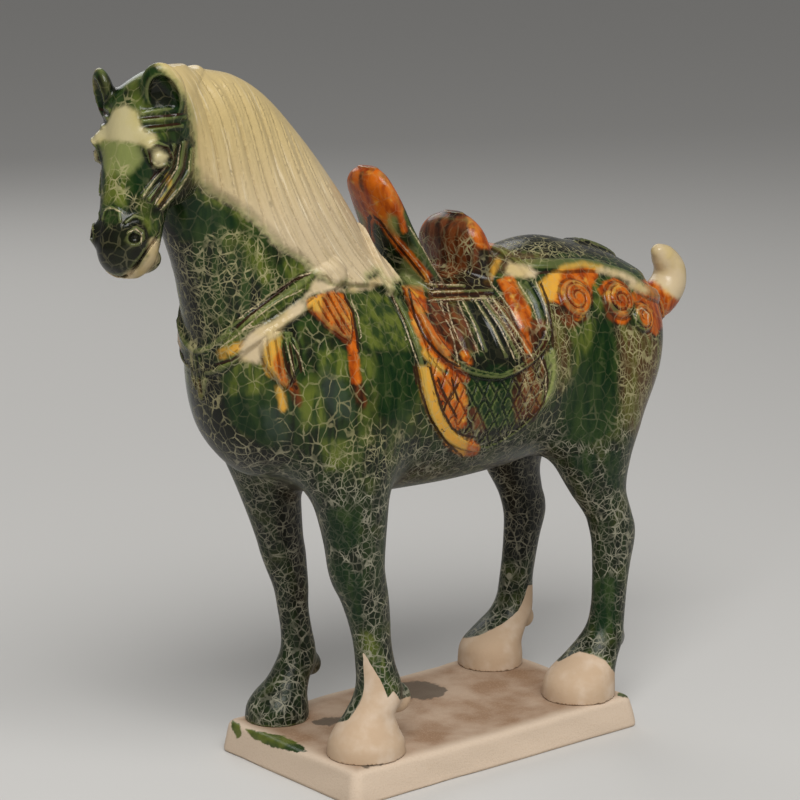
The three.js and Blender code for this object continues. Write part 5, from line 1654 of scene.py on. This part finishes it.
class Paint:
    """Builds a node material step by step. Sizes are in millimetres on the object."""

    def __init__(self, name):
        self.material = bpy.data.materials.new(name)
        self.material.use_nodes = True
        self.nodes = self.material.node_tree.nodes
        self.links = self.material.node_tree.links
        self.shader = self.nodes["Principled BSDF"]
        place = self.node("ShaderNodeTexCoord").outputs["Object"]
        self.place = self.vector("SCALE", place, 1 / MILLIMETRE)

    def node(self, kind, **settings):
        made = self.nodes.new(kind)
        for name, value in settings.items():
            setattr(made, name, value)
        return made

    def feed(self, socket, value):
        if isinstance(value, bpy.types.NodeSocket):
            self.links.new(value, socket)
        else:
            socket.default_value = value

    def attribute(self, name):
        return self.node("ShaderNodeAttribute", attribute_name=name).outputs["Fac"]

    def math(self, operation, a, b=0.0):
        made = self.node("ShaderNodeMath", operation=operation)
        self.feed(made.inputs[0], a)
        self.feed(made.inputs[1], b)
        return made.outputs[0]

    def vector(self, operation, a, b):
        """A sum on places. Scaling takes a number as b."""
        made = self.node("ShaderNodeVectorMath", operation=operation)
        self.feed(made.inputs[0], a)
        self.feed(made.inputs["Scale" if operation == "SCALE" else 1], b)
        return made.outputs[0]

    def plus(self, a, b):
        return self.math("ADD", a, b)

    def times(self, a, b):
        return self.math("MULTIPLY", a, b)

    def larger(self, a, b):
        return self.math("MAXIMUM", a, b)

    def step(self, low, high, value, to_low=0.0, to_high=1.0):
        """A smooth change from to_low to to_high as the value goes from low to high."""
        made = self.node("ShaderNodeMapRange", interpolation_type="SMOOTHSTEP")
        for socket, number in zip(("Value", "From Min", "From Max", "To Min", "To Max"),
                                  (value, low, high, to_low, to_high)):
            self.feed(made.inputs[socket], number)
        return made.outputs[0]

    def ramp(self, name, value):
        """A smooth change by one of the named ramps."""
        low, high, *ends = RAMPS[name]
        return self.step(low, high, value, *ends)

    def mixed(self, share, a, b):
        made = self.node("ShaderNodeMix", data_type="RGBA")
        self.feed(made.inputs[MIX_SHARE], share)
        self.feed(made.inputs[MIX_FIRST], a)
        self.feed(made.inputs[MIX_SECOND], b)
        return made.outputs[MIX_RESULT]

    def texture(self, kind, size, place, **settings):
        made = self.node(kind, **settings)
        self.feed(made.inputs["Vector"], place)
        self.feed(made.inputs["Scale"], 1 / size)
        return made

    def shifted(self, place, size, amount):
        """The place moved about by soft noise."""
        noise = self.texture("ShaderNodeTexNoise", size, place).outputs["Color"]
        centred = self.vector("SUBTRACT", noise, (NOISE_MIDDLE,) * 3)
        return self.vector("ADD", place, self.vector("SCALE", centred, amount))

    def stretched(self, factors):
        return self.vector("MULTIPLY", self.place, factors)

    def noise(self, size, detail, place=None):
        made = self.texture("ShaderNodeTexNoise", size, place or self.place)
        self.feed(made.inputs["Detail"], detail)
        return made.outputs["Fac"]

    def shift(self, size, detail, amount):
        """Soft noise about nought, to move an edge to and fro."""
        return self.times(self.math("SUBTRACT", self.noise(size, detail), NOISE_MIDDLE), amount)

    def cells(self, size, place):
        """Distance in millimetres to the edge of the cell that a place is in."""
        edge = self.texture("ShaderNodeTexVoronoi", size, place, feature="DISTANCE_TO_EDGE")
        return self.times(edge.outputs["Distance"], size)

    def bump(self, height, distance):
        made = self.node("ShaderNodeBump")
        self.feed(made.inputs["Height"], height)
        made.inputs["Distance"].default_value = distance * MILLIMETRE
        return made.outputs[0]

    def finish(self, colour, roughness, height, surface):
        self.feed(self.shader.inputs["Base Color"], colour)
        self.feed(self.shader.inputs["Roughness"], roughness)
        self.feed(self.shader.inputs["Normal"], self.bump(height, surface["bump"]))
        self.shader.inputs["IOR"].default_value = surface["ior"]
        self.shader.inputs["Specular IOR Level"].default_value = surface["gloss"]
        return self.material


GREEN_DARK = linear(16, 22, 10)
GREEN = linear(38, 56, 20)
GREEN_DEEP = linear(8, 34, 8)
OLIVE = linear(90, 98, 36)
# Grey of the painted reflection on the shoulder and chest
SHEEN_GREY = linear(66, 76, 66)
TAN = linear(74, 54, 30)
LIME = linear(132, 138, 80)
NET = linear(158, 150, 108)
NET_GREY = linear(150, 146, 126)
CREAM = linear(190, 171, 137)
CREAM_YELLOW = linear(182, 161, 112)
# White of the painted highlights on the mane
HIGHLIGHT_WHITE = linear(222, 208, 178)
HAIR_SHADE = linear(162, 142, 98)
AMBER = linear(182, 90, 16)
AMBER_DEEP = linear(132, 50, 4)
BROWN = linear(98, 50, 22)
BROWN_DARK = linear(40, 20, 8)
BLACK = linear(14, 14, 8)
YELLOW = linear(206, 152, 56)
CLAY = linear(202, 182, 160)
CLAY_TAN = linear(186, 160, 132)
SPOT_GREY = linear(84, 74, 62)
TOP_TAN = linear(138, 108, 82)

# Noises of the glaze and the clay: size in millimetres and detail
CLOUD = (16, 3)
PATCHY = (8, 3)
FLOW = (5, 4)
GRAIN = (1.1, 3)
CRACK_WEAR = (6, 3)
FOOT_CLOUD = (12, 3)
HAIR = (1, 3)
SLAB_GRAIN = (0.9, 4)
SLAB_CLOUD = (22, 4)

# How edges wander: size of the noise, its detail, and how many millimetres they move
EDGE_SHIFT = (3.4, 4, 4.5)
LINE_SHIFT = (2.5, 2, 0.9)
SPOT_SHIFT = (4, 4, 3)

# The crackle's cells, and how their places wander and stretch. The glaze ran down, so its streaks are long.
CRACKLE = {"stretch": (1, 1, 0.85), "wide_wander": (8, 3), "fine_wander": (1.6, 0.6), "wide": 5.6, "fine": 3}
FLOW_STRETCH = (1, 1, 0.22)

# Coloured glazes in the order that they lie: softness of the edge, how much it wanders, and strength.
# The last two have no colour. They quiet the crackle.
GLAZES = {
    "olive": (2.5, 1, 0.85),
    "deep": (2, 1, 1),
    "stain_and_sheen": (4, 2, 0.4),
    "tan": (3.5, 1, 1),
    # Painted reflection, not a glaze: a soft grey sheen
    "brown": (1.2, 0.6, 1),
    "amber": (1, 0.5, 1),
    "yellow": (1.6, 0.5, 0.9),
    "lime": (2.4, 0.8, 0.7),
    "dark": (1.8, 1, 0.9),
    "cream": (1.8, 0.7, 1),
    "quiet": (3, 1, 0.7),
    "no_crackle_on_cream": (0.6, 1, 1),
}

# Smooth changes: from and to, and where they aren't 0 and 1, the values there
RAMPS = {
    "green_run": (0.34, 0.66),
    "green_cloud": (0.5, 0.72, 0, 0.5),
    "olive_run": (0.38, 0.62),
    "deep_run": (0.4, 0.7),
    "tan_run": (0.45, 0.65, 0, 0.55),
    "brown_run": (0.36, 0.64),
    "amber_run": (0.36, 0.6),
    "amber_patch": (0.55, 0.72, 0, 0.7),
    "hollow": (-0.06, -0.55),
    "ridge": (0.1, 0.7),
    "crack_width": (0.35, 0.65, 0.02, 0.16),
    "wide_crack": (0.26, 0.06),
    "fine_crack": (0.26, 0.02),
    "fine_share": (0.2, 0.8, 0, 0.75),
    "crack_wear": (0.38, 0.6, 0.3, 1),
    "crack_region": (0, 1, 0.4, 0.76),
    "line_ends": (2.2, 1.5),
    "pale_line_breakup": (0.4, 0.6, 0.2, 0.8),
    "cream_cloud": (0.4, 0.7),
    "cream_height": (290, 320, 0, 0.4),
    "mane_height": (280, 345),
    "hair_shade": (0.48, 0.3, 0, 0.38),
    "hair_highlight": (0.58, 0.74, 0, 0.5),
    "mane_edge": (-1.6, 2.2),
    "fringe_outside": (-1.5, 1),
    "fringe_inside": (5, 0, 0, 0.6),
    "bare_edge": (-0.3, 0.3),
    "foot_clay": (0.2, 0.6),
    "low_roughness": (0, 1, 0.18, 0.32),
    "grain_height": (0, 1, 0.12, 0.3),
    "stain_cloud": (0.3, 0.7, 0.55, 1),
    "slab_grain": (0.45, 0.75, 0, 0.3),
    "spot_edge": (-0.4, 0.4),
    "spot_cloud": (0.4, 0.6),
    "spot_roughness": (0, 1, 0.88, 0.25),
}

# Thin lines: half their width, and how soft they are outside and inside it
DARK_LINE_HALF = 0.62
PALE_LINE_HALF = 0.3
LINE_OUTSIDE = 0.22
LINE_INSIDE = 0.12

# Strengths, each from 0 to 1
# How far the green darkens towards the bottom and with the painted shade on faces turned down
LOW_DARKENING_AND_UNDERSIDE_SHADE = 0.5
HOLLOW = 0.75
HOLLOW_BLACK = 0.75
RIDGE = 0.3
LOW_NET = 0.7
DEEP_QUIET = 0.8
AMBER_QUIET = 0.55
DARK_LINE = 0.9
SPOT = 0.85

# How much of the edges' wandering the mane and the bare clay take
MANE_WANDER = 1.2
BARE_WANDER = 0.3

# Roughness, bump in millimetres, index of refraction and gloss
CRACK_ROUGHNESS = 0.3
MANE_ROUGHNESS = 0.3
CLAY_ROUGHNESS = 0.8
CRACK_HEIGHT = -0.35
PATCH_HEIGHT = 0.8
GLAZE_SURFACE = {"bump": 0.3, "ior": 1.5, "gloss": 0.2}
CLAY_SURFACE = {"bump": 0.25, "ior": 1.45, "gloss": 0.3}


class Glaze(Paint):
    """The horse's glaze, with the noises and masks that its parts share."""

    def __init__(self):
        super().__init__("glaze")
        self.cloud = self.noise(*CLOUD)
        self.patchy = self.noise(*PATCHY)
        self.flow = self.noise(*FLOW, self.stretched(FLOW_STRETCH))
        self.grain = self.noise(*GRAIN)
        self.edge_shift = self.shift(*EDGE_SHIFT)
        self.line_shift = self.shift(*LINE_SHIFT)
        self.low = self.attribute("low")
        parted = self.node("ShaderNodeSeparateXYZ")
        self.feed(parted.inputs[0], self.place)
        self.up = parted.outputs[2]

    def moved_edge(self, name, wander):
        return self.plus(self.attribute(name), self.times(self.edge_shift, wander))

    def cover(self, mask, glaze):
        """How much of a place a coloured glaze covers."""
        softness, wander, strength = GLAZES[glaze]
        return self.times(self.step(-softness, softness, self.moved_edge(mask, wander)), strength)

    def run(self, name, first, second):
        """Two colours, mixed as the glaze ran down."""
        return self.mixed(self.ramp(name, self.flow), first, second)

    def thin_line(self, name, half):
        across = self.math("ABSOLUTE", self.plus(self.attribute(name), self.line_shift))
        shown = self.step(half + LINE_OUTSIDE, half - LINE_INSIDE, across)
        return self.times(shown, self.ramp("line_ends", self.attribute(name + "_near")))


def ground_green(paint):
    green = paint.run("green_run", GREEN_DARK, GREEN)
    green = paint.mixed(paint.ramp("green_cloud", paint.cloud), green, OLIVE)
    # Darker green towards the bottom, and painted shade on faces turned down
    return paint.mixed(paint.times(paint.low, LOW_DARKENING_AND_UNDERSIDE_SHADE), green, GREEN_DARK)


def coloured_glazes(paint, colour):
    """The marks' own glazes and a painted reflection, laid over the green one by one."""
    amber = paint.run("amber_run", AMBER_DEEP, AMBER)
    glazes = {
        "olive": paint.run("olive_run", GREEN, OLIVE),
        "deep": paint.run("deep_run", GREEN_DEEP, GREEN),
        # Painted reflection: a grey sheen on the shoulder and chest
        "stain_and_sheen": SHEEN_GREY,
        "tan": paint.run("tan_run", TAN, OLIVE),
        "brown": paint.run("brown_run", BROWN_DARK, BROWN),
        "amber": paint.mixed(paint.ramp("amber_patch", paint.patchy), amber, YELLOW),
        "yellow": YELLOW,
        "lime": LIME,
        "dark": BLACK,
    }
    for name, glaze in glazes.items():
        colour = paint.mixed(paint.cover(name, name), colour, glaze)
    return colour


def pooled(paint, colour):
    """Glaze is thick and dark in hollows, and thin and pale on ridges."""
    bend = paint.attribute("bend")
    hollow = paint.times(paint.ramp("hollow", bend), HOLLOW)
    colour = paint.mixed(hollow, colour, paint.mixed(HOLLOW_BLACK, colour, BLACK))
    return paint.mixed(paint.times(paint.ramp("ridge", bend), RIDGE), colour, LIME)


def crackle(paint):
    """How strongly the net of cracks shows at a place."""
    wandering = paint.shifted(paint.stretched(CRACKLE["stretch"]), *CRACKLE["wide_wander"])
    wandering = paint.shifted(wandering, *CRACKLE["fine_wander"])
    net = paint.larger(paint.attribute("net"), paint.times(paint.low, LOW_NET))
    width = paint.ramp("crack_width", paint.patchy)
    wide_edge = paint.cells(CRACKLE["wide"], wandering)
    wide_line = paint.ramp("wide_crack", paint.math("SUBTRACT", wide_edge, width))
    fine_line = paint.ramp("fine_crack", paint.cells(CRACKLE["fine"], wandering))
    fine_line = paint.times(fine_line, paint.ramp("fine_share", net))
    line = paint.larger(wide_line, fine_line)
    line = paint.times(line, paint.ramp("crack_wear", paint.noise(*CRACK_WEAR)))
    quiet = paint.times(paint.cover("deep", "deep"), DEEP_QUIET)
    quiet = paint.larger(quiet, paint.times(paint.cover("amber", "amber"), AMBER_QUIET))
    quiet = paint.larger(quiet, paint.cover("cream", "no_crackle_on_cream"))
    quiet = paint.larger(quiet, paint.cover("quiet", "quiet"))
    shown = paint.times(line, paint.math("SUBTRACT", 1.0, quiet))
    return paint.times(shown, paint.ramp("crack_region", paint.plus(net, paint.low)))


def thin_lines(paint, colour):
    dark_line = paint.times(paint.thin_line("dark_line", DARK_LINE_HALF), DARK_LINE)
    colour = paint.mixed(dark_line, colour, BROWN_DARK)
    # Pale lines, partly painted highlights along ridges, broken up by grain
    line_breakup = paint.ramp("pale_line_breakup", paint.grain)
    return paint.mixed(paint.times(paint.thin_line("pale_and_highlight_line", PALE_LINE_HALF), line_breakup), colour, CREAM)


def cream_glaze(paint, colour):
    cream = paint.mixed(paint.ramp("cream_cloud", paint.cloud), CREAM, CREAM_YELLOW)
    cream = paint.mixed(paint.ramp("cream_height", paint.up), cream, LIME)
    return paint.mixed(paint.cover("cream", "cream"), colour, cream)


def mane_glaze(paint, colour, mane_cover, mane_edge):
    """Cream glaze with darker streaks of painted shade and white streaks of painted highlight along the
    hair, and a fringe of pale green at its edge.
    """
    hair = paint.node("ShaderNodeCombineXYZ")
    paint.feed(hair.inputs[0], paint.attribute("across"))
    paint.feed(hair.inputs[1], paint.attribute("along"))
    streak = paint.noise(*HAIR, hair.outputs[0])
    mane = paint.mixed(paint.ramp("mane_height", paint.up), CREAM, CREAM_YELLOW)
    # Painted shade and painted highlights in streaks along the hair
    mane = paint.mixed(paint.ramp("hair_shade", streak), mane, HAIR_SHADE)
    mane = paint.mixed(paint.ramp("hair_highlight", streak), mane, HIGHLIGHT_WHITE)
    fringe = paint.times(paint.ramp("fringe_outside", mane_edge), paint.ramp("fringe_inside", mane_edge))
    return paint.mixed(mane_cover, colour, paint.mixed(fringe, mane, LIME))


def glaze_material():
    paint = Glaze()
    colour = pooled(paint, coloured_glazes(paint, ground_green(paint)))
    cracks = crackle(paint)
    colour = paint.mixed(cracks, colour, paint.mixed(paint.low, NET, NET_GREY))
    colour = cream_glaze(paint, thin_lines(paint, colour))
    mane_edge = paint.moved_edge("mane", MANE_WANDER)
    mane_cover = paint.ramp("mane_edge", mane_edge)
    colour = mane_glaze(paint, colour, mane_cover, mane_edge)
    bare = paint.ramp("bare_edge", paint.moved_edge("bare", BARE_WANDER))
    clay = paint.mixed(paint.ramp("foot_clay", paint.noise(*FOOT_CLOUD)), CLAY, CLAY_TAN)
    colour = paint.mixed(bare, colour, clay)
    cracked = paint.times(cracks, paint.math("SUBTRACT", 1.0, bare))
    roughness = paint.plus(paint.times(cracked, CRACK_ROUGHNESS), paint.ramp("low_roughness", paint.low))
    roughness = paint.step(0, 1, mane_cover, roughness, MANE_ROUGHNESS)
    roughness = paint.step(0, 1, bare, roughness, CLAY_ROUGHNESS)
    height = paint.times(paint.grain, paint.ramp("grain_height", bare))
    height = paint.plus(paint.times(cracked, CRACK_HEIGHT), height)
    height = paint.plus(height, paint.times(paint.patchy, PATCH_HEIGHT))
    return paint.finish(colour, roughness, height, GLAZE_SURFACE)


def clay_material():
    paint = Paint("clay")
    grain = paint.noise(*SLAB_GRAIN)
    cloud = paint.noise(*SLAB_CLOUD)
    spot_shift = paint.shift(*SPOT_SHIFT)
    stain_and_sheen = paint.times(paint.attribute("stain_and_sheen"), paint.ramp("stain_cloud", cloud))
    colour = paint.mixed(stain_and_sheen, CLAY, TOP_TAN)
    colour = paint.mixed(paint.ramp("slab_grain", grain), colour, CLAY_TAN)
    green = paint.ramp("spot_edge", paint.plus(paint.attribute("green"), spot_shift))
    colour = paint.mixed(green, colour, paint.mixed(paint.ramp("spot_cloud", cloud), GREEN, OLIVE))
    grey = paint.ramp("spot_edge", paint.plus(paint.attribute("grey"), spot_shift))
    colour = paint.mixed(paint.times(grey, SPOT), colour, SPOT_GREY)
    return paint.finish(colour, paint.ramp("spot_roughness", green), paint.plus(grain, cloud), CLAY_SURFACE)


def dress(piece, masks, material, node):
    for name, values in masks.items():
        set_attribute(piece.data, name, values)
    piece.data.materials.clear()
    piece.data.materials.append(material)
    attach(piece, "root")
    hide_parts(node)


horse, points, normals = field_piece(
    "glazed_horse", horse_field, FIELD_LOW, FIELD_HIGH, CELL, HORSE_TRIANGLES,
)
dress(horse, paint_horse(points, normals), glaze_material(), "horse")
slab, points, normals = field_piece(
    "clay_slab", slab_field, SLAB_LOW, SLAB_HIGH, SLAB_CELL, SLAB_TRIANGLES,
)
dress(slab, paint_slab(points, normals), clay_material(), "plinth")

# Floor, light and camera
FLOOR_HALF = 6
FLOOR_COLOUR = linear(196, 194, 190)
FLOOR_ROUGHNESS = 0.8
AMBIENT_COLOUR = (1, 1, 1, 1)
LIGHTS = [
    {"name": "key", "place": (-0.9, -1.1, 1.7), "size": 1.1, "watts": 34},
    {"name": "fill", "place": (-0.1, -1.5, 1.9), "size": 1.2, "watts": 16},
    {"name": "back", "place": (0.5, 1.6, 1.3), "size": 1.4, "watts": 9},
]
AMBIENT = 0.24


def aim(made, place, target):
    direction = Vector(target) - Vector(place)
    made.matrix_world = Matrix.Translation(place) @ direction.to_track_quat("-Z", "Y").to_matrix().to_4x4()


def add_floor():
    mesh = bpy.data.meshes.new("floor")
    corners = [(FLOOR_HALF * x, FLOOR_HALF * y, 0) for x, y in ((-1, -1), (1, -1), (1, 1), (-1, 1))]
    mesh.from_pydata(corners, [], [range(len(corners))])
    floor = placed_object("floor", mesh)
    material = bpy.data.materials.new("floor")
    material.use_nodes = True
    shader = material.node_tree.nodes["Principled BSDF"]
    shader.inputs["Base Color"].default_value = FLOOR_COLOUR
    shader.inputs["Roughness"].default_value = FLOOR_ROUGHNESS
    mesh.materials.append(material)


def add_lights():
    for light in LIGHTS:
        lamp = bpy.data.lights.new(light["name"], "AREA")
        lamp.shape = "DISK"
        lamp.size = light["size"]
        lamp.energy = light["watts"]
        aim(placed_object(light["name"], lamp), light["place"], CAMERA_TARGET)
    world = bpy.data.worlds.new("studio")
    world.use_nodes = True
    background = world.node_tree.nodes["Background"]
    background.inputs["Color"].default_value = AMBIENT_COLOUR
    background.inputs["Strength"].default_value = AMBIENT
    bpy.context.scene.world = world


def add_camera():
    camera = bpy.data.cameras.new("camera")
    camera.lens = CAMERA_LENS
    made = placed_object("camera", camera)
    aim(made, CAMERA_PLACE, CAMERA_TARGET)
    bpy.context.scene.camera = made


add_floor()
add_lights()
add_camera()
bpy.context.scene.view_settings.view_transform = "Standard"
